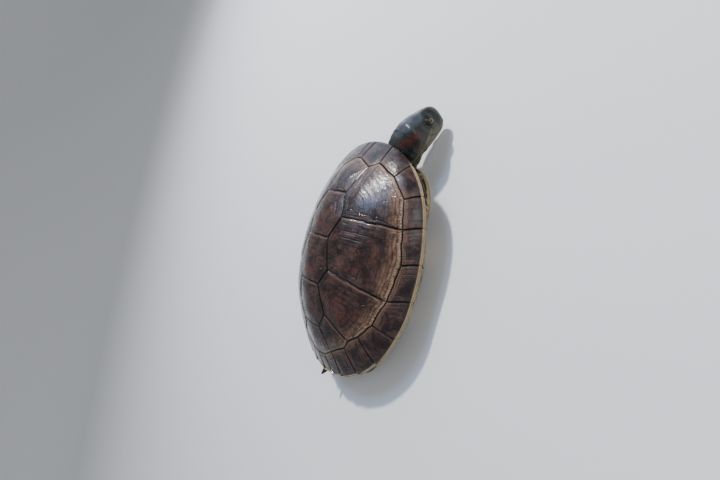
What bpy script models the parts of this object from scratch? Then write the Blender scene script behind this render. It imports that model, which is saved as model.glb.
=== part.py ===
"""A red-eared slider turtle, life size, resting on its plastron with its legs drawn in.

The head points along -Y, +X is the turtle's left and +Z is up. The floor is z = 0.
Lengths are in metres; the tables of shares are parts of the carapace length.
"""

import math

import bmesh
import bpy
from mathutils import Matrix, Vector

# Driving dimensions
MM = 0.001
SHELL = 0.220  # straight length of the carapace
HALF_WIDTH = 0.394  # widest half width, a share of the length
WIDEST = 0.606  # where the carapace is widest, from the front
HIGHEST = 0.483  # where it is highest
PLASTRON_DROP = 0.030  # how far the plastron lies below the height tables' zero
RIDGE_FRONT, RIDGE_TOP, RIDGE_REAR = 0.170, 0.324, 0.101
RIM_LOW, RIM_FRONT_RISE, RIM_REAR_RISE = 0.085, 0.085, 0.020
PLATE = 4.0 * MM  # thickness of a shell plate
SEAM = 0.30 * MM  # how far each plate stops short of its seam line
RIM_EDGE = 1.6 * MM  # thickness of the free edge
BRIDGE_DROP = 10.0 * MM  # how far the bridge marginals hang below the rim
SERRATION = 1.6 * MM  # how far the rear marginals' hind corners stand out
SKIN_GAP = 0.35 * MM  # clearance between neighbouring soft pieces
PLATE_STEP = 13.0 * MM  # greatest spacing of points along a plate's edge
STEEPEST = 2.2  # a plate's upright depth is at most this many thicknesses

# How full the carapace's curves are
PLAN_FRONT, PLAN_REAR = (3.43, 0.493), (1.91, 0.505)  # powers of the plan's two ends
RIDGE_BEND_FRONT, RIDGE_BEND_REAR = 2.1, 1.9  # powers of the back's fall each way
RIM_BEND_FRONT, RIM_BEND_REAR = 4.2, 8.0
RIM_DIP, RIM_DIP_AT, RIM_DIP_REACH = 2.0 * MM, 0.52, 0.22  # the rim hangs lower over the bridge
VAULT = (1.57, 0.671)  # powers of the vault across the back

# The body's middle, moved so that the origin is under the middle of the whole animal
MIDDLE = Vector((0.0, 0.0128, 0.0))

# Where seams meet on the carapace: share from the front, share from the midline
CORNERS = {
    "nuchal_v1": (0.086, 0.020),
    "v1_c1": (0.124, 0.101),
    "v1_v2": (0.246, 0.071),
    "v2_c1_c2": (0.345, 0.111),
    "v2_v3": (0.436, 0.081),
    "v3_c2_c3": (0.558, 0.118),
    "v3_v4": (0.624, 0.074),
    "v4_c3_c4": (0.735, 0.108),
    "v4_v5": (0.800, 0.062),
    "v5_c4": (0.882, 0.112),
    "v5_m12": (0.918, 0.050),
    "v5_tail": (0.928, 0.000),
    "m1_m2": (0.102, 0.139),
    "m2_m3": (0.149, 0.234),
    "m3_m4": (0.224, 0.304),
    "c1_c2": (0.333, 0.336),
    "m5_m6": (0.458, 0.357),
    "c2_c3": (0.597, 0.344),
    "m7_m8": (0.698, 0.312),
    "m8_m9": (0.762, 0.261),
    "c3_c4": (0.799, 0.215),
    "m9_m10": (0.833, 0.194),
}
VERTEBRALS = (
    ("nuchal_v1", "v1_c1", "v1_v2"),
    ("v1_v2", "v2_c1_c2", "v2_v3"),
    ("v2_v3", "v3_c2_c3", "v3_v4"),
    ("v3_v4", "v4_c3_c4", "v4_v5"),
    ("v4_v5", "v5_c4", "v5_m12", "v5_tail"),
)
COSTALS = (
    ("v1_c1", "m1_m2", "m2_m3", "m3_m4", "c1_c2", "v2_c1_c2", "v1_v2"),
    ("c1_c2", "m5_m6", "c2_c3", "v3_c2_c3", "v2_v3", "v2_c1_c2"),
    ("c2_c3", "m7_m8", "m8_m9", "c3_c4", "v4_c3_c4", "v3_v4", "v3_c2_c3"),
    ("c3_c4", "m9_m10", "v5_c4", "v4_v5", "v4_c3_c4"),
)
# Each marginal: its inner corners from front to rear, and where its rim starts and ends
KEEL_REACH = 0.75  # how far in from the rim a rim plate is lowest
RIM_SEAMS = (0.0005, 0.022, 0.090, 0.196, 0.308, 0.438, 0.575, 0.723, 0.845, 0.924, 0.975, 0.993, 1.0)
MARGINALS = (
    ("nuchal_v1", "v1_c1", "m1_m2"),
    ("m1_m2", "m2_m3"),
    ("m2_m3", "m3_m4"),
    ("m3_m4", "c1_c2"),
    ("c1_c2", "m5_m6"),
    ("m5_m6", "c2_c3"),
    ("c2_c3", "m7_m8"),
    ("m7_m8", "m8_m9"),
    ("m8_m9", "c3_c4", "m9_m10"),
    ("m9_m10", "v5_c4"),
    ("v5_c4", "v5_m12"),
    ("v5_m12", "v5_tail"),
)
INNER_CLEAR = 1.5  # a rim plate's clearance from the costals, to the seam's
RIM_STATIONS = (0.0, 0.45, 0.8, 1.0)  # sections from a rim plate's inner seam to its edge
FIRST_TOOTHED = 8  # marginals from this one back have a standing hind corner

# Plastron seams, in millimetres: where each meets the midline and the outline
PLASTRON = ("gular", "humeral", "pectoral", "abdominal", "femoral", "anal")
PLASTRON_MIDLINE = (-103.0, -76.0, -56.0, -22.0, 27.0, 57.0, 96.0)
PLASTRON_OUTER = (-99.0, -91.0, -60.0, -17.0, 43.0, 76.0, 101.0)
LOBE_FRONT, LOBE_REAR = -103.5, 106.0
LOBE_HALF = 54.0
LOBE_ROUND = (4.6, 0.62)  # powers of the lobes' round ends
LOBE_LEAST = 10.0  # half width that a lobe's end never goes under
BRIDGE = (0.235, 0.315, 0.615, 0.700)  # shares where the bridge starts, is full, is full, ends
PLASTRON_FLAT = 50.0  # half width of the flat underside, in millimetres
BRIDGE_INSIDE, BRIDGE_UNDER = 10.5, 1.2  # how far inside and under the marginals it meets them
PLASTRON_COLUMNS = (0.0, 0.3, 0.6, 0.8, 0.9, 1.0)
PLASTRON_ROWS = (0.0, 0.25, 0.5, 0.75, 1.0)
BRIDGE_SWEEP = 1.2  # power of the bridge's rise
SEAM_BEND = 1.6  # power of the cross seams' sweep from the midline out

# The body inside the shell: where its sections stand, and where the leg pockets begin and end
TRUNK_STATIONS = (
    0.128, 0.17, 0.21, 0.245, 0.275, 0.33, 0.40, 0.48, 0.56, 0.63, 0.69, 0.72, 0.77, 0.82, 0.87, 0.91,
)
FRONT_POCKET = (0.240, 0.280)
REAR_POCKET = (0.685, 0.725)
TRUNK_SIDES = 24
TRUNK_TAPER = (0.80, 0.93)  # how far the first and last two sections close in
TRUNK_VAULT = (1.75, 0.68)  # powers of its back
TRUNK_BELLY = 0.8  # power of its underside
TRUNK_IN, TRUNK_UNDER, TRUNK_OVER = 16.0 * MM, 6.5 * MM, 5.0 * MM  # clear of the rim, back and floor
FRONT_BODY, REAR_BODY = 26.0 * MM, 34.0 * MM  # half width between the forelegs and the hind legs
FRONT_WIDENS, REAR_NARROWS = 100.0 * MM, 60.0 * MM  # by how much for each share of the length

# Head and neck, in millimetres and degrees
HEAD_YAW, HEAD_PITCH, HEAD_ROLL = 18.0, -30.0, 18.0
HEAD_BACK = (-30.5, -105.7, 36.2)
# along the head from its back, half width, crown above the axis, jaw below it
HEAD_SECTIONS = (
    (12.0, 18.3, 15.5, 17.4),
    (18.0, 17.6, 16.4, 16.8),
    (24.0, 16.0, 16.4, 15.8),
    (30.0, 13.6, 15.3, 14.6),
    (36.0, 11.2, 14.4, 13.2),
    (41.0, 9.0, 12.7, 11.8),
    (44.5, 6.6, 10.1, 9.6),
    (46.0, 4.2, 7.1, 7.0),
)
# centre, yaw, pitch, roll, half width, half height
NECK_SECTIONS = (
    (0.0, -58.0, 21.5, 4.0, 0.0, 0.0, 17.0, 12.5),
    (-5.0, -74.0, 21.5, 12.0, 4.0, 0.0, 19.5, 13.5),
    (-12.5, -87.0, 22.5, 18.0, 5.0, 2.0, 20.5, 14.0),
    (-19.5, -96.5, 23.7, 20.0, 0.0, 6.0, 20.0, 12.9),
    (-27.0, -106.5, 26.7, 19.0, -14.0, 12.0, 20.3, 15.3),
)
NECK_SIDES = 16
LIMB_SIDES = 12
PATH_STEPS = 2  # sections for each span of a path
EYE_RADIUS = 4.1
EYE_PLACE = (31.8, 9.6, 2.4)  # along, outward and above the head's axis

# Limbs, in millimetres: centre, half width, half depth
FORELEGS = {
    "left": (
        (29.0, -50.0, 24.0, 8.5, 8.5),
        (31.0, -66.0, 24.0, 9.0, 8.5),
        (38.0, -79.0, 23.5, 8.8, 8.2),
        (49.0, -82.0, 21.5, 8.0, 7.6),
        (57.0, -75.0, 18.5, 7.2, 6.4),
        (60.5, -65.0, 15.5, 7.2, 4.6),
        (61.0, -58.0, 12.8, 6.2, 3.0),
    ),
    "right": (
        (32.5, -50.0, 26.0, 7.4, 7.4),
        (35.0, -63.0, 27.0, 7.4, 7.4),
        (39.5, -74.0, 27.5, 7.2, 7.2),
        (47.5, -79.0, 27.0, 6.8, 6.4),
        (54.5, -75.5, 25.5, 6.4, 5.4),
        (58.5, -68.0, 23.0, 6.2, 4.0),
        (60.0, -63.0, 21.5, 5.6, 3.0),
    ),
}
HIND_LEG = (
    (30.0, 44.0, 21.0, 10.0, 9.5),
    (42.0, 58.0, 21.0, 11.0, 9.5),
    (50.0, 70.0, 20.0, 10.5, 9.0),
    (46.0, 82.0, 18.0, 9.0, 7.5),
    (37.0, 89.0, 16.0, 8.5, 5.6),
    (28.0, 93.0, 14.0, 8.5, 4.2),
    (20.5, 95.0, 12.5, 7.6, 3.0),
)
TAIL = (
    (0.0, 74.0, 15.0, 8.5, 8.0),
    (0.5, 86.0, 15.0, 7.5, 7.0),
    (2.5, 97.0, 16.5, 5.4, 5.2),
    (5.0, 107.0, 19.5, 3.6, 3.5),
    (7.5, 115.0, 22.5, 2.1, 2.1),
    (9.0, 120.5, 24.5, 0.9, 0.9),
)
TOE_COUNT = 5
TOE_LENGTH, TOE_RADIUS, CLAW_RADIUS = 9.0, 1.5, 0.35
TOE_SPREAD, TOE_DROOP = 0.35, 0.25  # sideways and downward aim of the outer toes, to one ahead
TOE_SHORTER = 0.25  # share by which the outer toes are shorter
TOE_BURIED, TOE_INSIDE = 2.5, 1.3  # how far a toe starts inside the foot's end and its sides
LIMB_POWER = 2.3  # a limb's section: 2 is an ellipse, more is squarer


def fresh_scene():
    """Clears the file and makes the two collections."""
    for old in list(bpy.data.objects):
        bpy.data.objects.remove(old, do_unlink=True)
    groups = {}
    for name in ("slider_turtle", "cutters"):
        groups[name] = bpy.data.collections.new(name)
        bpy.context.scene.collection.children.link(groups[name])
    return groups


GROUPS = fresh_scene()
BODY = bpy.data.objects.new("body_frame", None)
BODY.location = MIDDLE
GROUPS["slider_turtle"].objects.link(BODY)


def material(name, colour, roughness):
    made = bpy.data.materials.new(name)
    made.use_nodes = True
    shader = made.node_tree.nodes["Principled BSDF"]
    shader.inputs["Base Color"].default_value = (*colour, 1.0)
    shader.inputs["Roughness"].default_value = roughness
    shader.inputs["Metallic"].default_value = 0.0
    return made


SHELL_HORN = material("carapace horn", (0.075, 0.040, 0.028), 0.25)
PLASTRON_HORN = material("plastron horn", (0.52, 0.38, 0.13), 0.35)
SKIN = material("skin", (0.045, 0.055, 0.045), 0.40)
EYE = material("eye", (0.20, 0.17, 0.04), 0.05)


def put(name, mesh, look, group="slider_turtle"):
    """Links a finished mesh as one named object under the body frame."""
    bmesh.ops.recalc_face_normals(mesh, faces=mesh.faces)
    data = bpy.data.meshes.new(name)
    mesh.to_mesh(data)
    mesh.free()
    data.materials.append(look)
    data.shade_smooth()
    data.set_sharp_from_angle(angle=math.radians(40))
    made = bpy.data.objects.new(name, data)
    GROUPS[group].objects.link(made)
    made.parent = BODY
    if group == "cutters":
        made.hide_render = True
        made.display_type = "WIRE"
    return made


def boolean(target, cutter, operation):
    cut = target.modifiers.new(f"{operation.lower()} {cutter.name}", "BOOLEAN")
    cut.operation = operation
    cut.solver = "EXACT"
    cut.object = cutter


# Carapace form

def half_width(s):
    """Half width of the carapace at a share of its length."""
    if s <= WIDEST:
        away, (bend, fullness) = 1.0 - max(s, 0.0) / WIDEST, PLAN_FRONT
    else:
        away, (bend, fullness) = (min(s, 1.0) - WIDEST) / (1.0 - WIDEST), PLAN_REAR
    return SHELL * HALF_WIDTH * (1.0 - away ** bend) ** fullness


def ridge_height(s):
    """Height of the back's midline."""
    if s <= HIGHEST:
        fall = (RIDGE_TOP - RIDGE_FRONT) * (1.0 - s / HIGHEST) ** RIDGE_BEND_FRONT
    else:
        fall = (RIDGE_TOP - RIDGE_REAR) * ((s - HIGHEST) / (1.0 - HIGHEST)) ** RIDGE_BEND_REAR
    return SHELL * (RIDGE_TOP - fall + PLASTRON_DROP)


def rim_height(s):
    """Height of the shell's edge."""
    high = RIM_LOW + RIM_FRONT_RISE * (1.0 - s) ** RIM_BEND_FRONT + RIM_REAR_RISE * s ** RIM_BEND_REAR
    away = min(abs(s - RIM_DIP_AT) / RIM_DIP_REACH, 1.0)
    return SHELL * (high + PLASTRON_DROP) - RIM_DIP * (1.0 - away ** 2) ** 2


def share(y):
    return min(max(0.5 + y / SHELL, 0.0), 1.0)


def dome(x, y):
    """Height of the carapace's outer face over a point of its plan."""
    s = share(y)
    reach = half_width(s)
    across = min(abs(x) / reach, 1.0) if reach > 1e-6 else 1.0
    rim = rim_height(s)
    bend, fullness = VAULT
    return rim + max(ridge_height(s) - rim, 0.0) * (1.0 - across ** bend) ** fullness


def plate_depth(x, y):
    """Upright depth of a plate of even thickness where the dome slopes."""
    step = 1.0 * MM
    slope_x = (dome(abs(x) + step, y) - dome(abs(x) - step, y)) / (2 * step)
    slope_y = (dome(x, y + step) - dome(x, y - step)) / (2 * step)
    return PLATE * min(math.sqrt(1.0 + slope_x ** 2 + slope_y ** 2), STEEPEST)


def plan(corner, side=1.0):
    """A corner's place on the plan; side is +1 for the turtle's left, -1 for its right."""
    s, out = CORNERS[corner]
    return Vector((side * out * SHELL, (s - 0.5) * SHELL))


def inset(outline, distance):
    """Moves every edge of a plan outline inward by a distance."""
    turn = sum(a.x * b.y - b.x * a.y for a, b in zip(outline, outline[1:] + outline[:1]))
    sign = 1.0 if turn > 0.0 else -1.0
    moved = []
    for before, here, after in zip(outline[-1:] + outline[:-1], outline, outline[1:] + outline[:1]):
        first = (here - before).normalized()
        second = (after - here).normalized()
        inward_1 = sign * Vector((-first.y, first.x))
        inward_2 = sign * Vector((-second.y, second.x))
        moved.append(here + (inward_1 + inward_2) * distance / (1.0 + inward_1.dot(inward_2)))
    return moved


def divided(outline, spacing):
    """Adds points along an outline's edges."""
    points = []
    for start, end in zip(outline, outline[1:] + outline[:1]):
        count = max(1, round((end - start).length / spacing))
        points += [start.lerp(end, k / count) for k in range(count)]
    return points


def dome_scute(name, outline):
    """A vertebral or costal plate: rings about its middle, above and below."""
    edge = divided(inset(outline, SEAM), PLATE_STEP)
    middle = sum(edge, Vector((0.0, 0.0))) / len(edge)
    mesh = bmesh.new()

    def ring(reach, below):
        made = []
        for point in edge:
            x, y = middle.lerp(point, reach)
            drop = plate_depth(x, y) if below else 0.0
            made.append(mesh.verts.new((x, y, dome(x, y) - drop)))
        return made

    def fan(vertices, drop):
        hub = mesh.verts.new((*middle, dome(*middle) - drop))
        for a, b in zip(vertices, vertices[1:] + vertices[:1]):
            mesh.faces.new((a, b, hub))

    rings = [ring(0.5, False), ring(1.0, False), ring(1.0, True), ring(0.5, True)]
    for upper, lower in zip(rings, rings[1:]):
        join_rings(mesh, upper, lower)
    fan(rings[0], 0.0)
    fan(rings[-1], plate_depth(*middle))
    return put(name, mesh, SHELL_HORN)


def join_rings(mesh, first, second):
    """A band of faces between two rings of the same count."""
    count = len(first)
    for k in range(count):
        after = (k + 1) % count
        mesh.faces.new((first[k], first[after], second[after], second[k]))


def loft(rings):
    """A closed body through rings of points, with a fan at each end."""
    mesh = bmesh.new()
    rows = [[mesh.verts.new(point) for point in ring] for ring in rings]
    for first, second in zip(rows, rows[1:]):
        join_rings(mesh, first, second)
    for row in (rows[0], rows[-1]):
        hub = mesh.verts.new(sum((vertex.co for vertex in row), Vector()) / len(row))
        for a, b in zip(row, row[1:] + row[:1]):
            mesh.faces.new((a, b, hub))
    return mesh


def bridge_share(s):
    """One over the bridge, nought over the openings, and smooth between."""
    start, full, leave, end = BRIDGE
    rise = min(max((s - start) / (full - start), 0.0), 1.0)
    fall = min(max((end - s) / (end - leave), 0.0), 1.0)
    value = min(rise, fall)
    return value * value * (3.0 - 2.0 * value)


def along(points, share_along):
    """A point along a chain of points, each span taking an equal share."""
    place = share_along * (len(points) - 1)
    index = min(int(place), len(points) - 2)
    return points[index].lerp(points[index + 1], place - index)


def keel(inner, rim):
    """The lowest point under a rim plate: low at the bridge, close under the dome elsewhere."""
    spot = rim.lerp(inner, KEEL_REACH)
    s = share(rim.y)
    free = dome(*spot) - plate_depth(*spot)
    low = rim_height(s) - BRIDGE_DROP
    return Vector((*spot, free + (low - free) * bridge_share(s)))


def rim_plate(name, inner, rim):
    """A marginal or the nuchal: a wedge from its inner seam out to the rim and back under."""
    rings = []
    for inside, outside in zip(inner, rim):
        top = [inside.lerp(outside, reach) for reach in RIM_STATIONS]
        ring = [Vector((*point, dome(*point))) for point in top]
        ring.append(Vector((*outside, ring[-1].z - RIM_EDGE)))
        ring.append(keel(inside, outside))
        ring.append(Vector((*inside, ring[0].z - plate_depth(*inside))))
        rings.append(ring)
    return put(name, loft(rings), SHELL_HORN)


def rim_point(s):
    """A point of the shell's left edge in plan."""
    return Vector((half_width(s), (s - 0.5) * SHELL))


def marginal(index, side, side_name):
    """One marginal of one side, its seams kept clear of its neighbours'."""
    corners = [plan(corner) for corner in MARGINALS[index]]
    s_from, s_to = RIM_SEAMS[index], RIM_SEAMS[index + 1]
    toothed = index + 1 >= FIRST_TOOTHED
    last = index == len(MARGINALS) - 1
    spans = 3 if len(corners) == 2 else 4
    stations = [k / spans for k in range(spans + 1)]
    width = (rim_point(s_to) - rim_point(s_from)).length
    trim_front = SEAM / width
    trim_back = 1.0 - SEAM / width
    inner, rim = [], []
    for station in stations:
        u = min(max(station, trim_front), trim_back)
        inside = along(corners, u)
        tooth = SERRATION * station ** 2 if toothed else 0.0
        outside = rim_point(s_from + (s_to - s_from) * u)
        if last and station == 1.0:
            inside.x = outside.x = SEAM
        across = (outside - inside).normalized()
        outside += across * tooth
        inside += across * SEAM * INNER_CLEAR
        inner.append(Vector((side * inside.x, inside.y)))
        rim.append(Vector((side * outside.x, outside.y)))
    return rim_plate(f"marginal_{side_name}_{index + 1:02d}", inner, rim)


def nuchal():
    """The small plate at the front of the midline."""
    corner = plan("nuchal_v1")
    reach = half_width(RIM_SEAMS[0])
    inner, rim = [], []
    for across in (-1.0, 0.0, 1.0):
        inner.append(Vector((across * (corner.x - SEAM), corner.y - SEAM * INNER_CLEAR)))
        rim.append(Vector((across * (reach - SEAM), -SHELL / 2)))
    return rim_plate("nuchal", inner, rim)


def carapace():
    nuchal()
    for number, corners in enumerate(VERTEBRALS, start=1):
        left = [plan(corner) for corner in corners]
        right = [Vector((-point.x, point.y)) for point in reversed(left) if point.x > 0.0]
        dome_scute(f"vertebral_{number}", left + right)
    for side_name, side in (("left", 1.0), ("right", -1.0)):
        for number, corners in enumerate(COSTALS, start=1):
            dome_scute(f"costal_{side_name}_{number}", [plan(corner, side) for corner in corners])
        for index in range(len(MARGINALS)):
            marginal(index, side, side_name)


# Plastron

def lobe_half_width(y):
    """Half width of the plastron's lobes, in millimetres."""
    bend, fullness = LOBE_ROUND
    end = LOBE_FRONT if y < 0.0 else LOBE_REAR
    return LOBE_HALF * max(1.0 - (y / end) ** bend, 0.0) ** fullness


def plastron_edge(y):
    """Outer edge of the underside at a length, with its height: a lobe's, or the bridge's."""
    s = share(y * MM)
    bridge = bridge_share(s)
    lobe = max(lobe_half_width(y), LOBE_LEAST)
    wall = half_width(s) / MM - BRIDGE_INSIDE
    rise = (rim_height(s) - BRIDGE_DROP) / MM - BRIDGE_UNDER
    return lobe + (wall - lobe) * bridge, rise * bridge


def plastron_scute(index, side, side_name):
    """One plate of the underside: a grid from the midline out, flat, and rising over the bridge."""
    shrink = SEAM / MM

    def seam_line(k, column):
        sweep = column ** SEAM_BEND
        return PLASTRON_MIDLINE[k] + (PLASTRON_OUTER[k] - PLASTRON_MIDLINE[k]) * sweep

    def place(row, column):
        front = seam_line(index, column) + shrink
        back = seam_line(index + 1, column) - shrink
        y = front + (back - front) * row
        outer_y = seam_line(index, 1.0) + (seam_line(index + 1, 1.0) - seam_line(index, 1.0)) * row
        edge, rise = plastron_edge(outer_y)
        x = shrink + (edge - shrink) * column
        lift = max(x - PLASTRON_FLAT, 0.0) / max(edge - PLASTRON_FLAT, 1.0)
        return Vector((x, y, rise * min(lift, 1.0) ** BRIDGE_SWEEP))

    below = [[place(row, column) for column in PLASTRON_COLUMNS] for row in PLASTRON_ROWS]
    above = []
    for line in below:
        upper = []
        for k, point in enumerate(line):
            ahead, behind = line[min(k + 1, len(line) - 1)], line[max(k - 1, 0)]
            slope = (ahead - behind).normalized()
            upper.append(point + Vector((-slope.z, 0.0, slope.x)) * (PLATE / MM))
        above.append(upper)
    rings = []
    for low, high in zip(below, above):
        ring = low + high[::-1]
        rings.append([Vector((side * point.x, point.y, point.z)) * MM for point in ring])
    return put(f"{PLASTRON[index]}_{side_name}", loft(rings), PLASTRON_HORN)


def plastron():
    for side_name, side in (("left", 1.0), ("right", -1.0)):
        for index in range(len(PLASTRON)):
            plastron_scute(index, side, side_name)


# Soft body

def spline(rows, steps):
    """Rows of numbers along a smooth curve through the given rows."""
    made = []
    for k in range(len(rows) - 1):
        before, here = rows[max(k - 1, 0)], rows[k]
        after, beyond = rows[k + 1], rows[min(k + 2, len(rows) - 1)]
        for step in range(steps):
            t = step / steps
            row = []
            for a, b, c, d in zip(before, here, after, beyond):
                bend = 2 * a - 5 * b + 4 * c - d
                twist = 3 * b - a - 3 * c + d
                row.append(0.5 * (2 * b + (c - a) * t + bend * t * t + twist * t ** 3))
            made.append(row)
    made.append(list(rows[-1]))
    return made


def oval(centre, out, up, wide, above, below, sides):
    """A ring of points round a centre, flatter than an ellipse, given its two directions."""
    ring = []
    for k in range(sides):
        angle = 2.0 * math.pi * k / sides
        cosine, sine = math.cos(angle), math.sin(angle)
        x = math.copysign(abs(cosine) ** (2.0 / LIMB_POWER), cosine) * wide
        z = math.copysign(abs(sine) ** (2.0 / LIMB_POWER), sine) * (above if sine > 0.0 else below)
        ring.append((centre + out * x + up * z) * MM)
    return ring


def limb_rings(path, side, grow=0.0):
    """Rings along a limb, each square to the limb's own direction."""
    rows = spline(path, PATH_STEPS)
    centres = [Vector((side * row[0], row[1], row[2])) for row in rows]
    rings = []
    for k, row in enumerate(rows):
        ahead, behind = centres[min(k + 1, len(rows) - 1)], centres[max(k - 1, 0)]
        direction = (ahead - behind).normalized()
        out = direction.cross(Vector((0.0, 0.0, 1.0))).normalized()
        up = out.cross(direction)
        depth = row[4] + grow
        rings.append(oval(centres[k], out, up, row[3] + grow, depth, depth, LIMB_SIDES))
    return rings


def facing(yaw, pitch, roll):
    """Forward, left and upward directions of a section turned right, tipped up and rolled."""
    turn = Matrix.Rotation(-math.radians(yaw), 3, "Z")
    turn = turn @ Matrix.Rotation(-math.radians(pitch), 3, "X")
    turn = turn @ Matrix.Rotation(math.radians(roll), 3, "Y")
    return turn @ Vector((0.0, -1.0, 0.0)), turn @ Vector((1.0, 0.0, 0.0)), turn @ Vector((0.0, 0.0, 1.0))


def head_place(ahead, out, up):
    """A point given along, to the left of and above the head's axis, in millimetres."""
    forward, left, upward = facing(HEAD_YAW, HEAD_PITCH, HEAD_ROLL)
    return Vector(HEAD_BACK) + forward * ahead + left * out + upward * up


def neck_rings(grow=0.0):
    """Rings from the trunk to the head, the last one matching the back of the head."""
    ahead, wide, crown, jaw = HEAD_SECTIONS[0]
    centre = head_place(ahead, 0.0, (crown - jaw) / 2.0)
    last = (*centre, HEAD_YAW, HEAD_PITCH, HEAD_ROLL, wide, (crown + jaw) / 2.0)
    rings = []
    for x, y, z, yaw, pitch, roll, wide, high in spline(NECK_SECTIONS + (last,), PATH_STEPS):
        _, left, upward = facing(yaw, pitch, roll)
        high += grow
        rings.append(oval(Vector((x, y, z)), left, upward, wide + grow, high, high, NECK_SIDES))
    return rings


def head():
    """The skull with its jaws, narrowing from the ears to the snout, with a socket for each eye."""
    _, left, upward = facing(HEAD_YAW, HEAD_PITCH, HEAD_ROLL)
    rings = []
    for ahead, wide, crown, jaw in spline(HEAD_SECTIONS, PATH_STEPS):
        centre = head_place(ahead + SKIN_GAP / MM, 0.0, 0.0)
        rings.append(oval(centre, left, upward, wide, crown, jaw, NECK_SIDES))
    skull = put("head", loft(rings), SKIN)
    for side_name, side in (("left", 1.0), ("right", -1.0)):
        ahead, out, up = EYE_PLACE
        centre = head_place(ahead, side * out, up) * MM
        for name, look, radius, group in (
            (f"eye_{side_name}", EYE, EYE_RADIUS * MM, "slider_turtle"),
            (f"eye_socket_{side_name}", SKIN, EYE_RADIUS * MM + SKIN_GAP, "cutters"),
        ):
            ball = bmesh.new()
            bmesh.ops.create_uvsphere(ball, u_segments=14, v_segments=9, radius=radius)
            made = put(name, ball, look, group)
            made.location = centre
            if group == "cutters":
                boolean(skull, made, "DIFFERENCE")


def foot_toes(name, path, side):
    """Five clawed toes fanned from the end of a limb, as one cutter to be joined to it."""
    wrist = Vector((side * path[-2][0], path[-2][1], path[-2][2]))
    tip = Vector((side * path[-1][0], path[-1][1], path[-1][2]))
    direction = (tip - wrist).normalized()
    out = direction.cross(Vector((0.0, 0.0, 1.0))).normalized()
    mesh = bmesh.new()
    for k in range(TOE_COUNT):
        spread = 2.0 * k / (TOE_COUNT - 1) - 1.0
        aim = (direction + out * spread * TOE_SPREAD - Vector((0.0, 0.0, TOE_DROOP))).normalized()
        length = TOE_LENGTH * (1.0 - TOE_SHORTER * spread * spread)
        root = tip - direction * TOE_BURIED + out * spread * (path[-1][3] - TOE_INSIDE)
        turn = aim.to_track_quat("Z", "Y").to_matrix().to_4x4()
        place = Matrix.Translation((root + aim * length / 2) * MM) @ turn
        bmesh.ops.create_cone(
            mesh, cap_ends=True, segments=6, radius1=TOE_RADIUS * MM,
            radius2=CLAW_RADIUS * MM, depth=length * MM, matrix=place,
        )
    return put(name, mesh, SKIN, "cutters")


def smooth_step(value, start, end):
    """Nought before the start, one after the end, smooth between."""
    t = min(max((value - start) / (end - start), 0.0), 1.0)
    return t * t * (3.0 - 2.0 * t)


def trunk_half_width(s):
    """Half width of the body: full over the bridge, narrow where the legs fold in."""
    full = half_width(s) - TRUNK_IN
    front = FRONT_BODY + FRONT_WIDENS * (s - TRUNK_STATIONS[0])
    rear = REAR_BODY - REAR_NARROWS * (s - REAR_POCKET[1])
    reach = front + (full - front) * smooth_step(s, *FRONT_POCKET)
    return reach + (rear - reach) * smooth_step(s, *REAR_POCKET)


def trunk():
    """The body inside the shell, with a socket for the neck, the tail and each leg."""
    rings = []
    last = len(TRUNK_STATIONS) - 1
    bend, fullness = TRUNK_VAULT
    for k, s in enumerate(TRUNK_STATIONS):
        from_end = min(k, last - k)
        taper = TRUNK_TAPER[from_end] if from_end < len(TRUNK_TAPER) else 1.0
        wide = trunk_half_width(s) * taper
        waist = rim_height(s)
        crown = (ridge_height(s) - TRUNK_UNDER - waist) * taper
        floor = (waist - TRUNK_OVER) * taper
        ring = []
        for step in range(TRUNK_SIDES):
            angle = 2.0 * math.pi * step / TRUNK_SIDES
            cosine, sine = math.cos(angle), math.sin(angle)
            if sine > 0.0:
                z = waist + crown * (1.0 - abs(cosine) ** bend) ** fullness
            else:
                z = waist - floor * abs(sine) ** TRUNK_BELLY
            ring.append(Vector((cosine * wide, (s - 0.5) * SHELL, z)))
        rings.append(ring)
    return put("trunk", loft(rings), SKIN)


def soft_body():
    body = trunk()
    gap = SKIN_GAP / MM
    put("neck", loft(neck_rings()), SKIN)
    boolean(body, put("neck_socket", loft(neck_rings(gap)), SKIN, "cutters"), "DIFFERENCE")
    head()
    limbs = [("tail", TAIL, 1.0, False)]
    for side_name, side in (("left", 1.0), ("right", -1.0)):
        limbs.append((f"foreleg_{side_name}", FORELEGS[side_name], side, True))
        limbs.append((f"hind_leg_{side_name}", HIND_LEG, side, True))
    for name, path, side, toes in limbs:
        limb = put(name, loft(limb_rings(path, side)), SKIN)
        socket = put(f"{name}_socket", loft(limb_rings(path, side, grow=gap)), SKIN, "cutters")
        boolean(body, socket, "DIFFERENCE")
        if toes:
            boolean(limb, foot_toes(f"{name}_toes", path, side), "UNION")


carapace()
plastron()
soft_body()
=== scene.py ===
# %% [markdown]
# # A red-eared slider turtle, life size
#
# The animal rests on its plastron with its legs drawn in, its neck turned to its right and its
# head lowered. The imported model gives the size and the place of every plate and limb. This file
# dresses it: horny plates with growth rings, one wet skin with scales over it, eyes and claws.
#
# Everything below is worked out in millimetres in the animal's own frame: the head points along
# -Y, +X is its left, +Z is up and the floor is z = 0. `world` turns that into metres.

# %% Load the frame
import math

import bmesh
import bpy
from mathutils import Matrix, Quaternion, Vector, kdtree, noise

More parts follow.
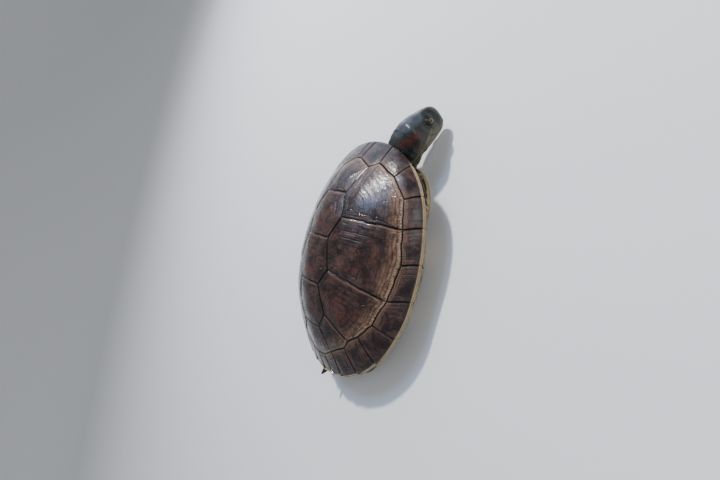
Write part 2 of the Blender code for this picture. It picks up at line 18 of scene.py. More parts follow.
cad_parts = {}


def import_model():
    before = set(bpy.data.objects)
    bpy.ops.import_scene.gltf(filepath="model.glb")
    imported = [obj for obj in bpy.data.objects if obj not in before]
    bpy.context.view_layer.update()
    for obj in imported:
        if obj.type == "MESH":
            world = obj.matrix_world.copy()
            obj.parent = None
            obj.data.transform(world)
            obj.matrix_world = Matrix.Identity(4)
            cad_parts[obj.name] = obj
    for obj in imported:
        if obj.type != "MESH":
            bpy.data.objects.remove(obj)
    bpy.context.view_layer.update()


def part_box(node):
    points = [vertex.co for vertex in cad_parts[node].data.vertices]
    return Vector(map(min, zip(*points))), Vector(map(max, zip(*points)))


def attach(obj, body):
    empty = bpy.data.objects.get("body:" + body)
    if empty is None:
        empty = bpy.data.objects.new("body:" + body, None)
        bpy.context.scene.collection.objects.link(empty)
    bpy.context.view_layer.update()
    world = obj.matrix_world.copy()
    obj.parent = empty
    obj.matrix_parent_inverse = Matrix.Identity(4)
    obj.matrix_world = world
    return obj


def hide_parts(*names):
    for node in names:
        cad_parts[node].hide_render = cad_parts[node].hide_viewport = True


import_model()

MM = 0.001
SHELL = 220.0  # straight length of the carapace
FINE = 1.0  # spacing of the surface's points, against the final one
SIDES = (("left", 1.0), ("right", -1.0))

# %% [markdown]
# ## Frame of the body
#
# The nuchal plate's front edge is half a shell length ahead of the body's middle, so its box
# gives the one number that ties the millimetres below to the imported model.

# %% Body frame
BODY_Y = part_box("nuchal")[0].y + SHELL / 2 * MM


def world(x, y, z):
    """A point of the body, in millimetres, as a place in the scene."""
    return Vector((x * MM, y * MM + BODY_Y, z * MM))


def mix(a, b, amount):
    return a + (b - a) * amount


def clamp(value, low=0.0, high=1.0):
    return min(max(value, low), high)


def ease(value, start, end):
    """Nought before the start, one after the end, smooth between."""
    t = clamp((value - start) / (end - start))
    return t * t * (3.0 - 2.0 * t)


def bell(value, middle, width):
    """One at the middle, falling smoothly to nought on both sides."""
    return math.exp(-((value - middle) / width) ** 2)


def wander(spot, size, seed=0.0):
    """Smooth noise between about -1 and 1, with features of that size in millimetres."""
    return noise.noise(Vector((spot[0] / size + seed, spot[1] / size - seed, spot[2] / size)))


def read_line(table, value):
    """A height read from a line of (place, height) points."""
    for (start, low), (end, high) in zip(table, table[1:]):
        if value <= end:
            return mix(low, high, clamp((value - start) / (end - start)))
    return table[-1][1]


def lengths_along(points):
    """How far along a chain of points each of them lies."""
    made = [0.0]
    for a, b in zip(points, points[1:]):
        made.append(made[-1] + (b - a).length)
    return made


print("body frame offset", round(BODY_Y, 5))

# %% [markdown]
# ## Making a piece
#
# Every surface here is a sheet that is wrapped round something: a plate, a limb, a claw. A grid
# made by `create_grid` is the sheet, each of its points is moved to its place, and the edges
# that meet are welded. Points also carry numbers, such as how far out on the plate they lie.
# The materials read those numbers, so their patterns follow the plate and not the room.

# %% Grids that wrap
WELD = 0.0000005


def number_layers(mesh, names):
    """The layers that hold those numbers at a mesh's points, made where they are missing."""
    layers = mesh.verts.layers.float
    return {name: layers.get(name) or layers.new(name) for name in names}


def wrap(rows):
    """A closed sheet through rows of (spot in millimetres, numbers), each row once round."""
    sides, steps = len(rows[0]), len(rows) - 1
    mesh = bmesh.new()
    layers = number_layers(mesh, rows[0][0][1])
    bmesh.ops.create_grid(mesh, x_segments=sides, y_segments=steps, size=0.5)
    for vertex in mesh.verts:
        column, row = round((vertex.co.x + 0.5) * sides), round((vertex.co.y + 0.5) * steps)
        spot, numbers = rows[row][column % sides]
        vertex.co = world(*spot)
        for name, value in numbers.items():
            vertex[layers[name]] = value
    bmesh.ops.remove_doubles(mesh, verts=mesh.verts, dist=WELD)
    bmesh.ops.recalc_face_normals(mesh, faces=mesh.faces)
    return mesh


def with_caps(rows, **changed):
    """The rows, with a row gathered in the middle of each open end to close it."""
    caps = []
    for row in (rows[0], rows[-1]):
        centre = sum((spot for spot, _ in row), Vector()) / len(row)
        caps.append([(centre, {**numbers, **changed}) for _, numbers in row])
    return [caps[0]] + rows + [caps[1]]


def as_object(name, mesh, look=None):
    """Links a mesh as an object of that name."""
    data = bpy.data.meshes.new(name)
    mesh.to_mesh(data)
    mesh.free()
    data.shade_smooth()
    if look:
        data.materials.append(look)
    piece = bpy.data.objects.new(name, data)
    bpy.context.scene.collection.objects.link(piece)
    return piece


def finished(piece, slot, *nodes):
    """A piece that belongs to the turtle: it rides on the body and stands for those nodes."""
    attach(piece, "root")
    if nodes:
        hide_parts(*nodes)
    return piece


print("sheet helpers ready")

# %% [markdown]
# ## Camera and light
#
# The camera stands on the turtle's right, level with its neck, tilted down and turned almost on
# its side, so the animal's back fills the frame with the head at the top. The room is a pale
# cove. A small warm lamp ahead of the animal draws the glints on wet horn, two blue ones beside
# it stand for the sky, and a wide one on its right lifts the shadows.

# %% Camera
CAMERA_PLACE = Vector((-0.3147, BODY_Y - 0.0304, 0.2450))
CAMERA_HEADING, CAMERA_DOWN, CAMERA_ROLL = (math.radians(angle) for angle in (2.25, 34.45, -75.88))
CAMERA_LENS, CAMERA_SENSOR, CAMERA_NEAREST = 19.97, 36.0, 0.01

lens = bpy.data.cameras.new("camera")
lens.lens, lens.sensor_width, lens.clip_start = CAMERA_LENS, CAMERA_SENSOR, CAMERA_NEAREST
camera = bpy.data.objects.new("camera", lens)
bpy.context.scene.collection.objects.link(camera)
ahead = Vector((math.cos(CAMERA_HEADING), math.sin(CAMERA_HEADING), 0.0)) * math.cos(CAMERA_DOWN)
ahead.z -= math.sin(CAMERA_DOWN)
camera.rotation_mode = "QUATERNION"
camera.rotation_quaternion = Quaternion(ahead, -CAMERA_ROLL) @ ahead.to_track_quat("-Z", "Y")
camera.location = CAMERA_PLACE
bpy.context.scene.camera = camera
print("camera looks along", camera.rotation_quaternion @ Vector((0, 0, -1)))

# %% Light and floor
LIGHTS = (
    # name, direction to it, distance, size, watts, colour
    ("key", (0.22, -0.62, 0.78), 1.6, 0.12, 30.0, (1.0, 0.95, 0.88)),
    ("sky", (0.12, -0.52, 0.85), 1.5, 0.6, 10.0, (0.34, 0.56, 1.0)),
    ("far sky", (0.62, -0.68, 0.38), 1.5, 1.1, 4.5, (0.50, 0.68, 1.0)),
    ("side", (-1.0, -0.45, 0.55), 1.5, 0.9, 7.0, (1.0, 0.98, 0.95)),
)
ROOM_COLOUR, ROOM_STRENGTH = (0.80, 0.84, 0.90, 1.0), 0.42
FLOOR_REACH, FLOOR_SIDES, COVE_RADIUS, COVE_STEPS = 2.6, 96, 1.4, 12

for name, direction, distance, size, watts, colour in LIGHTS:
    lamp = bpy.data.lights.new(name, "AREA")
    lamp.shape, lamp.size, lamp.energy, lamp.color = "DISK", size, watts, colour
    stand = bpy.data.objects.new(name, lamp)
    stand.location = Vector(direction).normalized() * distance
    stand.rotation_mode = "QUATERNION"
    stand.rotation_quaternion = (-Vector(direction)).to_track_quat("-Z", "Y")
    bpy.context.scene.collection.objects.link(stand)

room = bpy.data.worlds.new("room")
room.use_nodes = True
room.node_tree.nodes["Background"].inputs["Color"].default_value = ROOM_COLOUR
room.node_tree.nodes["Background"].inputs["Strength"].default_value = ROOM_STRENGTH
bpy.context.scene.world = room

floor_mesh = bmesh.new()
bmesh.ops.create_circle(floor_mesh, segments=FLOOR_SIDES, radius=FLOOR_REACH, cap_ends=True)
rim = [edge for edge in floor_mesh.edges if edge.is_boundary]
for step in range(1, COVE_STEPS + 1):
    turn = math.radians(90.0 * step / COVE_STEPS)
    reach = (FLOOR_REACH + COVE_RADIUS * math.sin(turn)) / FLOOR_REACH
    made = bmesh.ops.extrude_edge_only(floor_mesh, edges=rim)["geom"]
    rim = [item for item in made if isinstance(item, bmesh.types.BMEdge)]
    for vertex in [item for item in made if isinstance(item, bmesh.types.BMVert)]:
        flat = Vector((vertex.co.x, vertex.co.y)).normalized() * FLOOR_REACH * reach
        vertex.co = Vector((*flat, COVE_RADIUS * (1.0 - math.cos(turn))))
floor = as_object("floor", floor_mesh)
print("floor and", len(LIGHTS), "lights")

# %% [markdown]
# ## Shape of the shell
#
# The carapace is a vault: its plan, the height of its ridge and the height of its rim are three
# curves along the body, and a fourth one vaults across. The plates all lie on it, so their seams
# meet however finely each one is made.

# %% The vault
# lengths and heights are shares of the shell's length, unless they are said to be millimetres
HALF_WIDTH, WIDEST, HIGHEST = 0.394, 0.606, 0.483
PLASTRON_DROP = 0.030
RIDGE_FRONT, RIDGE_TOP, RIDGE_REAR = 0.170, 0.324, 0.101
RIM_LOW, RIM_FRONT_RISE, RIM_REAR_RISE = 0.085, 0.085, 0.020
PLAN_FRONT, PLAN_REAR = (3.43, 0.493), (1.91, 0.505)  # bend and fullness of the plan
RIDGE_BEND_FRONT, RIDGE_BEND_REAR = 2.1, 1.9
RIM_BEND_FRONT, RIM_BEND_REAR = 4.2, 8.0
RIM_DIP, RIM_DIP_AT, RIM_DIP_REACH = 2.0, 0.52, 0.22  # the rim hangs 2 mm lower over the bridge
VAULT = (1.57, 0.671)  # bend and fullness across
PLATE, RIM_EDGE, BRIDGE_DROP = 4.0, 1.6, 10.0  # a plate, the rim's edge and the bridge, in mm


def half_width(s):
    """Half width of the carapace at a share of its length."""
    if s <= WIDEST:
        away, (bend, fullness) = 1.0 - max(s, 0.0) / WIDEST, PLAN_FRONT
    else:
        away, (bend, fullness) = (min(s, 1.0) - WIDEST) / (1.0 - WIDEST), PLAN_REAR
    return SHELL * HALF_WIDTH * (1.0 - away ** bend) ** fullness


def ridge_height(s):
    """Height of the back's midline."""
    if s <= HIGHEST:
        fall = (RIDGE_TOP - RIDGE_FRONT) * (1.0 - s / HIGHEST) ** RIDGE_BEND_FRONT
    else:
        fall = (RIDGE_TOP - RIDGE_REAR) * ((s - HIGHEST) / (1.0 - HIGHEST)) ** RIDGE_BEND_REAR
    return SHELL * (RIDGE_TOP - fall + PLASTRON_DROP)


def rim_height(s):
    """Height of the shell's edge."""
    high = RIM_LOW + RIM_FRONT_RISE * (1.0 - s) ** RIM_BEND_FRONT + RIM_REAR_RISE * s ** RIM_BEND_REAR
    away = min(abs(s - RIM_DIP_AT) / RIM_DIP_REACH, 1.0)
    return SHELL * (high + PLASTRON_DROP) - RIM_DIP * (1.0 - away ** 2) ** 2


def share(y):
    """The share of the shell's length at a place along the body."""
    return clamp(0.5 + y / SHELL)


def dome(x, y):
    """Height of the carapace's outer face over a point of its plan."""
    s = share(y)
    reach = half_width(s)
    across = min(abs(x) / reach, 1.0) if reach > 0.001 else 1.0
    rim = rim_height(s)
    bend, fullness = VAULT
    return rim + max(ridge_height(s) - rim, 0.0) * (1.0 - across ** bend) ** fullness


SLOPE_STEP = 0.4  # millimetres
INSIDE = 0.985  # where the slope at the rim is read, against the rim's own place


def outward(x, y):
    """The dome's outward direction over a point of its plan."""
    x, y = x * INSIDE, y * INSIDE
    slope_x = (dome(x + SLOPE_STEP, y) - dome(x - SLOPE_STEP, y)) / (2 * SLOPE_STEP)
    slope_y = (dome(x, y + SLOPE_STEP) - dome(x, y - SLOPE_STEP)) / (2 * SLOPE_STEP)
    return Vector((-slope_x, -slope_y, 1.0)).normalized()


print("ridge", round(ridge_height(HIGHEST), 1), "rim", round(rim_height(0.5), 1))

# %% [markdown]
# ## Seams
#
# Every seam runs between two named corners. Both plates beside it ask for the same curve, so
# it can waver a little, as grown seams do, and the plates still fit.

# %% Corners and seams
CORNERS = {  # share of the shell's length, and share of it away from the midline
    "nuchal_v1": (0.086, 0.020), "v1_c1": (0.124, 0.101), "v1_v2": (0.246, 0.071),
    "v2_c1_c2": (0.345, 0.111), "v2_v3": (0.436, 0.081), "v3_c2_c3": (0.558, 0.118),
    "v3_v4": (0.624, 0.074), "v4_c3_c4": (0.735, 0.108), "v4_v5": (0.800, 0.062),
    "v5_c4": (0.882, 0.112), "v5_m12": (0.918, 0.050), "v5_tail": (0.928, 0.000),
    "m1_m2": (0.102, 0.139), "m2_m3": (0.149, 0.234), "m3_m4": (0.224, 0.304),
    "c1_c2": (0.333, 0.336), "m5_m6": (0.458, 0.357), "c2_c3": (0.597, 0.344),
    "m7_m8": (0.698, 0.312), "m8_m9": (0.762, 0.261), "c3_c4": (0.799, 0.215),
    "m9_m10": (0.833, 0.194),
}
CORNER_ORDER = list(CORNERS)
SEAM_STEP = 0.75 * FINE  # spacing of the points along a seam, in millimetres
SEAM_WAVE, SEAM_WAVE_LONG, SEAM_WAVE_MOST = 0.55, 20.0, 1.6  # a longer seam wavers more, up to a limit
seams = {}


def corner(name, side):
    s, out = CORNERS[name]
    return Vector((side * out * SHELL, (s - 0.5) * SHELL))


def seam(first, last):
    """Points in plan from one corner to another; a corner is (name, side)."""
    ends = tuple(sorted((first, last)))
    if ends not in seams:
        start, stop = (corner(*end) for end in ends)
        long = (stop - start).length
        count = max(2, round(long / SEAM_STEP))
        across = Vector((start.y - stop.y, stop.x - start.x)).normalized()
        # a seed of its own for every seam, so that no two waver alike
        seed = 3.7 * CORNER_ORDER.index(ends[0][0]) + 1.9 * ends[0][1] + 0.7 * ends[1][1]
        points = []
        for k in range(count + 1):
            t = k / count
            reach = math.sin(math.pi * t) * SEAM_WAVE * min(long / SEAM_WAVE_LONG, SEAM_WAVE_MOST)
            sway = wander((t * long, 0.0, 0.0), 9.0, seed) + 0.5 * wander((t * long, 5.0, 0.0), 3.0, seed)
            points.append(start.lerp(stop, t) + across * reach * sway)
        seams[ends] = points
    points = seams[ends]
    return points if first == ends[0] else points[::-1]


def outline(corners):
    """A closed outline in plan through a plate's corners, each point once."""
    points = []
    for first, last in zip(corners, corners[1:] + corners[:1]):
        points += seam(first, last)[:-1]
    area = sum(a.x * b.y - b.x * a.y for a, b in zip(points, points[1:] + points[:1]))
    return points if area > 0.0 else points[::-1]


def even(points, count):
    """Points at equal distances along a chain of points."""
    lengths = lengths_along(points)
    made, index = [], 0
    for k in range(count):
        want = lengths[-1] * k / (count - 1)
        while index < len(points) - 2 and lengths[index + 1] < want:
            index += 1
        span = max(lengths[index + 1] - lengths[index], 1e-9)
        made.append(points[index].lerp(points[index + 1], clamp((want - lengths[index]) / span)))
    return made


EDGE_MARK = 0.25  # spacing of the marks along an edge, in millimetres
FAR = 99.0


def edge_reader(corners, edges):
    """A function giving a point's distance from some edges of a plate, and the place along them."""
    marks = []
    for k in edges:
        chain = seam(corners[k], corners[(k + 1) % len(corners)])
        count = max(2, round(lengths_along(chain)[-1] / EDGE_MARK))
        marks += even([Vector((*point, 0.0)) for point in chain], count)
    if not marks:
        return lambda point: (FAR, 0.0)
    tree = kdtree.KDTree(len(marks))
    for index, spot in enumerate(marks):
        tree.insert(spot, index)
    tree.balance()

    def read(point):
        _, index, away = tree.find((*point, 0.0))
        return away, index * EDGE_MARK

    return read


SHARPEST = 0.6  # limits how far a point at a sharp turn may be moved


def inset(points, distance):
    """The outline moved inward; sharp turns are held back so that it doesn't cross itself."""
    moved = []
    for before, here, after in zip(points[-1:] + points[:-1], points, points[1:] + points[:1]):
        first, second = (here - before).normalized(), (after - here).normalized()
        inward = Vector((-first.y - second.y, first.x + second.x))
        moved.append(here + inward * distance / max(1.0 + first.dot(second), SHARPEST))
    return moved


print("corners", len(CORNERS))

# %% [markdown]
# ## Vertebral and costal plates
#
# Horn grows at a plate's edge, so a plate is rings about its first, smallest plate, the areola,
# which sits behind and above the middle. The rings are close together at the edge, where the
# plate rounds over and dives into the seam, and its underside closes it.
#
# The rings also carry the relief: shallow grooves where growth paused, the slow unevenness of
# worn horn, and the face's fall towards its edge.

# %% Relief of horn
GROOVE = 1.15  # depth of a seam, in millimetres
EDGE_STEPS = (0.0, 0.26, 0.6, 1.0, 1.5, 2.2)  # rings near the edge: how far inside it they are
EDGE_FALL = (1.0, 0.62, 0.30, 0.12, 0.03, 0.0)  # how far down each lies, a share of the groove
EDGE_PROFILE = tuple(zip(EDGE_STEPS, EDGE_FALL))
PAUSE_DEPTH, CROWN_FALL, WORN_LEVEL = 0.16, 0.45, 0.30  # millimetres
WORN_PATCHES = ((0.22, 15.0, 0.0), (0.07, 4.5, 2.0))  # height, size and seed of the unevenness


def edge_fall(inside):
    """How far the plate's face has dropped at a distance from its edge."""
    return GROOVE * read_line(EDGE_PROFILE, inside)


def relief(spot, growth, pauses):
    """Height of the horn's face above the plain dome, never above it."""
    paused = growth * pauses + 0.35 * wander(spot, 11.0, 4.0)
    line = max(math.cos(2.0 * math.pi * paused), 0.0) ** 8
    strength = ease(growth, 0.25, 0.65) * (0.6 + 0.4 * wander(spot, 16.0, 8.0))
    worn = sum(height * wander(spot, size, seed) for height, size, seed in WORN_PATCHES) - WORN_LEVEL
    return worn - CROWN_FALL * growth ** 2.5 - PAUSE_DEPTH * line * strength


def end_shares(long, count):
    """Shares of a length, close together at both ends, where a plate rounds over into its seams."""
    ends = [step / long for step in EDGE_STEPS]
    middle = [mix(ends[-1], 1.0 - ends[-1], k / count) for k in range(1, count)]
    return ends + middle + [1.0 - end for end in reversed(ends)]


print("edge rings", len(EDGE_STEPS))

# %% Vertebrals and costals
VERTEBRALS = (
    ("nuchal_v1", "v1_c1", "v1_v2"),
    ("v1_v2", "v2_c1_c2", "v2_v3"),
    ("v2_v3", "v3_c2_c3", "v3_v4"),
    ("v3_v4", "v4_c3_c4", "v4_v5"),
    ("v4_v5", "v5_c4", "v5_m12", "v5_tail"),
)
COSTALS = (
    ("v1_c1", "m1_m2", "m2_m3", "m3_m4", "c1_c2", "v2_c1_c2", "v1_v2"),
    ("c1_c2", "m5_m6", "c2_c3", "v3_c2_c3", "v2_v3", "v2_c1_c2"),
    ("c2_c3", "m7_m8", "m8_m9", "c3_c4", "v4_c3_c4", "v3_v4", "v3_c2_c3"),
    ("c3_c4", "m9_m10", "v5_c4", "v4_v5", "v4_c3_c4"),
)
VERTEBRAL_RIM = ((0, 4, 5), (), (), (), (1, 2, 3, 4))  # edges that meet the nuchal or the marginals
COSTAL_RIM = (4, 2, 3, 2)  # how many of a costal's first edges meet the marginals
VERTEBRAL_PAUSES, COSTAL_PAUSES, MARGINAL_PAUSES = 8, 10, 5  # rests in growth that left a line
RING_STEP, LEAST_RINGS = 0.9 * FINE, 8  # spacing of the rings, in millimetres
AREOLA_BACK, AREOLA_UP = 0.22, 0.26  # how far the areola is moved, shares of the plate's size
ROUNDED = 0.06  # share of the growth that lies on the rounded edge


def plate(corners, pauses, rim_edges, has_front):
    """One plate of the back; rim_edges meet the rim's plates, and the last one is its front edge."""
    edge = outline(corners)
    from_rim = edge_reader(corners, rim_edges)
    from_front = edge_reader(corners, (len(corners) - 1,) if has_front else ())
    middle = sum(edge, Vector((0.0, 0.0))) / len(edge)
    deep = max(point.y for point in edge) - min(point.y for point in edge)
    wide = max(point.x for point in edge) - min(point.x for point in edge)
    upward = -math.copysign(1.0, middle.x) if abs(middle.x) > 1.0 else 0.0
    hub = middle + Vector((upward * wide * AREOLA_UP, deep * AREOLA_BACK))
    band = [inset(edge, distance) for distance in EDGE_STEPS]
    count = max(LEAST_RINGS, round(sum((point - hub).length for point in edge) / len(edge) / RING_STEP))
    rings = []

    def ring(points, growth, fall, deep_down=0.0):
        made = []
        for point in points:
            spot = Vector((*point, dome(*point)))
            rise = relief(spot, growth, pauses) * (1.0 - min(fall / GROOVE, 1.0)) - fall - deep_down
            spot += outward(*point) * rise
            away, place = from_rim(point)
            made.append((spot, {"growth": growth, "from_rim": away, "along_rim": place,
                                "from_front": from_front(point)[0]}))
        rings.append(made)

    for k in range(count):
        t = k / count
        ring([hub.lerp(point, t) for point in band[-1]], (1.0 - ROUNDED) * t, 0.0)
    for k in reversed(range(len(EDGE_STEPS))):
        ring(band[k], 1.0 - ROUNDED * k / (len(EDGE_STEPS) - 1), GROOVE * EDGE_FALL[k])
    ring(edge, 1.0, GROOVE, PLATE - GROOVE)
    ring([hub] * len(edge), 1.0, GROOVE, PLATE - GROOVE)
    return wrap(rings)


back_plates = {}
for number, names in enumerate(VERTEBRALS, start=1):
    corners = [(name, 1.0) for name in names]
    corners += [(name, -1.0) for name in reversed(names) if CORNERS[name][1] > 0.0]
    back_plates[f"vertebral_{number}"] = plate(
        corners, VERTEBRAL_PAUSES, VERTEBRAL_RIM[number - 1], number > 1)
for side_name, side in SIDES:
    for number, names in enumerate(COSTALS, start=1):
        corners = [(name, side) for name in names]
        back_plates[f"costal_{side_name}_{number}"] = plate(
            corners, COSTAL_PAUSES, range(COSTAL_RIM[number - 1]), number > 1)
print("back plates", len(back_plates), "faces", sum(len(mesh.faces) for mesh in back_plates.values()))

# %% [markdown]
# ## Marginal plates and the nuchal
#
# A marginal is a wedge: its face runs down from the seam to the rim, turns round the edge and
# comes back underneath. Each one is a row of such sections. The first and last sections shrink,
# as the plate rounds over into the seams beside it. The hind ones stand out at their back
# corners, which gives the shell its notched rear edge.

# %% Rim plates
RIM_SEAMS = (0.0005, 0.022, 0.090, 0.196, 0.308, 0.438, 0.575, 0.723, 0.845, 0.924, 0.975, 0.993, 1.0)
MARGINALS = (
    ("nuchal_v1", "v1_c1", "m1_m2"), ("m1_m2", "m2_m3"), ("m2_m3", "m3_m4"), ("m3_m4", "c1_c2"),
    ("c1_c2", "m5_m6"), ("m5_m6", "c2_c3"), ("c2_c3", "m7_m8"), ("m7_m8", "m8_m9"),
    ("m8_m9", "c3_c4", "m9_m10"), ("m9_m10", "v5_c4"), ("v5_c4", "v5_m12"), ("v5_m12", "v5_tail"),
)
FIRST_TOOTHED, SERRATION = 8, 1.6  # from the eighth one on, the hind corner stands out by 1.6 mm
KEEL_REACH = 0.75  # where the lowest point under a marginal lies, from the rim to its inner seam
BRIDGE = (0.235, 0.315, 0.615, 0.700)  # where the bridge starts, is full, leaves and ends
FACE_POINTS, EDGE_POINTS, UNDER_POINTS, FAN_POINTS = 30, 7, 14, 60
FAN_BEND = 1.7  # gathers the face's points towards the rim
STEEPEST = 0.45  # how upright the dome may count as when a plate's depth is measured
SECTION_STEP, RIM_POINTS, CURVE_STEPS = 0.8, 80, 24
NOSE_BULGE, TURNED_IN, NOSE_LIFT, NOSE_DROP = 0.8, 0.4, 0.15, 0.1  # the rim's rounded edge
PALE_FROM, PALE_TO, PALE_LEAST = -97.0, -84.0, 0.25  # the first plates are brown to their rim


def bridge_share(s):
    """One over the bridge, nought over the openings, and smooth between."""
    start, full, leave, end = BRIDGE
    return ease(min((s - start) / (full - start), (end - s) / (end - leave)), 0.0, 1.0)


def plate_depth(x, y):
    """Upright depth of a plate of even thickness where the dome slopes."""
    return PLATE / max(outward(x, y).z, STEEPEST)


def keel(inner, rim):
    """The lowest point under a rim plate."""
    spot = rim.lerp(inner, KEEL_REACH)
    s = share(rim.y)
    free = dome(*spot) - plate_depth(*spot)
    return Vector((*spot, free + (rim_height(s) - BRIDGE_DROP - free) * bridge_share(s)))


def section(inner, rim):
    """The closed section of a rim plate: its face, its edge and its underside."""
    fan = [inner.lerp(rim, 1.0 - (1.0 - k / FAN_POINTS) ** FAN_BEND) for k in range(FAN_POINTS + 1)]
    face = even([Vector((*point, dome(*point))) for point in fan], FACE_POINTS)
    out = (rim - inner).normalized()
    low = face[-1].z - RIM_EDGE
    nose = []
    for k in range(1, EDGE_POINTS):
        turn = math.pi * k / EDGE_POINTS
        bulge = RIM_EDGE / 2 * (math.sin(turn) - 1.0) * NOSE_BULGE
        height = mix(face[-1].z, low, (1.0 - math.cos(turn)) / 2)
        nose.append(Vector((rim.x + out.x * bulge, rim.y + out.y * bulge, height)))
    turned_in = rim - out * RIM_EDGE * TURNED_IN
    start = Vector((*turned_in, low - NOSE_DROP))
    foot = Vector((*inner, face[0].z - plate_depth(*inner)))
    face[-1] = Vector((*turned_in, face[-1].z + NOSE_LIFT))
    return face, nose, even([start, keel(inner, rim), foot], UNDER_POINTS)


def rim_mesh(inner_line, rim_line, tooth, first=(0.60, 0.62)):
    """A rim plate between its inner seam and the rim, both given as chains in plan.

    first is the place of its oldest horn, from the seam to the rim and from front to back.
    """
    long = max(lengths_along(rim_line)[-1], lengths_along(inner_line)[-1])
    dense = max(len(inner_line), RIM_POINTS)
    inners, rims = even(inner_line, dense), even(rim_line, dense)
    rows = []
    for u in end_shares(long, max(LEAST_RINGS, round(long / (SECTION_STEP * FINE)))):
        place = u * (dense - 1)
        index = min(int(place), dense - 2)
        inner, rim = (line[index].lerp(line[index + 1], place - index) for line in (inners, rims))
        rim += (rim - inner).normalized() * (tooth * u * u)
        shrink = edge_fall(min(u, 1.0 - u) * long)
        cream = mix(PALE_LEAST, 1.0, ease(rim.y, PALE_FROM, PALE_TO))
        face, nose, under = section(inner, rim)
        centre = sum(face + under, Vector()) / (len(face) + len(under))
        width = lengths_along(face)[-1]
        behind = (first[1] - u) / first[1] if u < first[1] else (u - first[1]) / (1.0 - first[1])
        row = []
        for k, spot in enumerate(face):
            f = k / (len(face) - 1)
            out = abs(f - first[0]) / first[0] if f < first[0] else (f - first[0]) / (1.0 - first[0]) * 0.55
            growth = clamp(max(out, behind))
            fall = max(shrink, edge_fall(f * width))
            rise = relief(spot, growth, MARGINAL_PAUSES) * (1.0 - fall / GROOVE) * (1.0 - 0.7 * f) - fall
            numbers = {"growth": growth, "around": u * long, "seam": f * width, "under": 0.0,
                       "edge": cream * bell((1.0 - f) * width, 0.9, 1.1)}
            row.append((spot + outward(spot.x, spot.y) * rise, numbers))
        turned = []  # spot, growth, how far under it is, how pale
        for k, spot in enumerate(nose, start=1):
            f = k / (len(nose) + 1)
            turned.append((spot, 1.0, ease(f, 0.2, 0.8), 1.0 - 0.5 * f))
        for k, spot in enumerate(under):
            f = k / (len(under) - 1)
            turned.append((spot, max(f, abs(2.0 * u - 1.0)), 1.0, 0.5 * bell(f, 0.0, 0.05)))
        for spot, growth, below, pale in turned:
            numbers = {"growth": growth, "around": u * long, "seam": width, "under": below,
                       "edge": cream * pale}
            row.append((spot + (centre - spot).normalized() * shrink, numbers))
        rows.append(row)
    return wrap(with_caps(rows, edge=0.0))


def rim_curve(s_from, s_to, side):
    """The shell's edge in plan between two shares of its length."""
    shares = (mix(s_from, s_to, k / CURVE_STEPS) for k in range(CURVE_STEPS + 1))
    return [Vector((side * half_width(s), (s - 0.5) * SHELL)) for s in shares]


rim_plates = {}
for side_name, side in SIDES:
    for index, names in enumerate(MARGINALS):
        inner_line = []
        for first, last in zip(names, names[1:]):
            inner_line += seam((first, side), (last, side))[(1 if inner_line else 0):]
        rim_line = rim_curve(RIM_SEAMS[index], RIM_SEAMS[index + 1], side)
        tooth = SERRATION if index + 1 >= FIRST_TOOTHED else 0.0
        rim_plates[f"marginal_{side_name}_{index + 1:02d}"] = rim_mesh(inner_line, rim_line, tooth)
front_reach = half_width(RIM_SEAMS[0])
front_rim = [Vector((mix(-front_reach, front_reach, k / 8), -SHELL / 2)) for k in range(9)]
rim_plates["nuchal"] = rim_mesh(seam(("nuchal_v1", -1.0), ("nuchal_v1", 1.0)), front_rim, 0.0, (0.5, 0.5))
print("rim plates", len(rim_plates), "faces", sum(len(mesh.faces) for mesh in rim_plates.values()))

# %% [markdown]
# ## Plastron
#
# The plates under the body are flat, worn smooth, and turn up at the sides to meet the
# marginals over the bridge. Each is again a row of closed sections, from the midline out.

# %% Plastron plates
PLASTRON = ("gular", "humeral", "pectoral", "abdominal", "femoral", "anal")
PLASTRON_MIDLINE = (-103.0, -76.0, -56.0, -22.0, 27.0, 57.0, 96.0)  # where the seams cross it
PLASTRON_OUTER = (-99.0, -91.0, -60.0, -17.0, 43.0, 76.0, 101.0)  # where they reach the edge
LOBE_FRONT, LOBE_REAR, LOBE_HALF, LOBE_LEAST, LOBE_ROUND = -103.5, 106.0, 54.0, 10.0, (4.6, 0.62)
PLASTRON_FLAT = 50.0  # flat as far out as this
BRIDGE_INSIDE, BRIDGE_UNDER, BRIDGE_SWEEP = 10.5, 1.2, 1.2
SEAM_BEND, SEAM_SWAY = 1.6, 0.35
PLASTRON_GROOVE, PLASTRON_SEAM, PLASTRON_STEP, LEAST_ROWS = 0.45, 0.05, 1.3, 6
PLASTRON_COLUMNS, COLUMN_BEND = 44, 1.25  # columns gather towards the outer edge
OUTER_BULGE, OUTER_STEPS, INNER_SKIP = 0.9, 6, 4
WORN_FLAT = 0.3  # how much of its unevenness the flat part keeps


def plastron_edge(y):
    """Outer edge of the underside at a length, with its height."""
    bend, fullness = LOBE_ROUND
    end = LOBE_FRONT if y < 0.0 else LOBE_REAR
    lobe = LOBE_HALF * max(1.0 - (y / end) ** bend, 0.0) ** fullness
    s = share(y)
    rise = rim_height(s) - BRIDGE_DROP - BRIDGE_UNDER
    return mix(max(lobe, LOBE_LEAST), half_width(s) - BRIDGE_INSIDE, bridge_share(s)), rise * bridge_share(s)


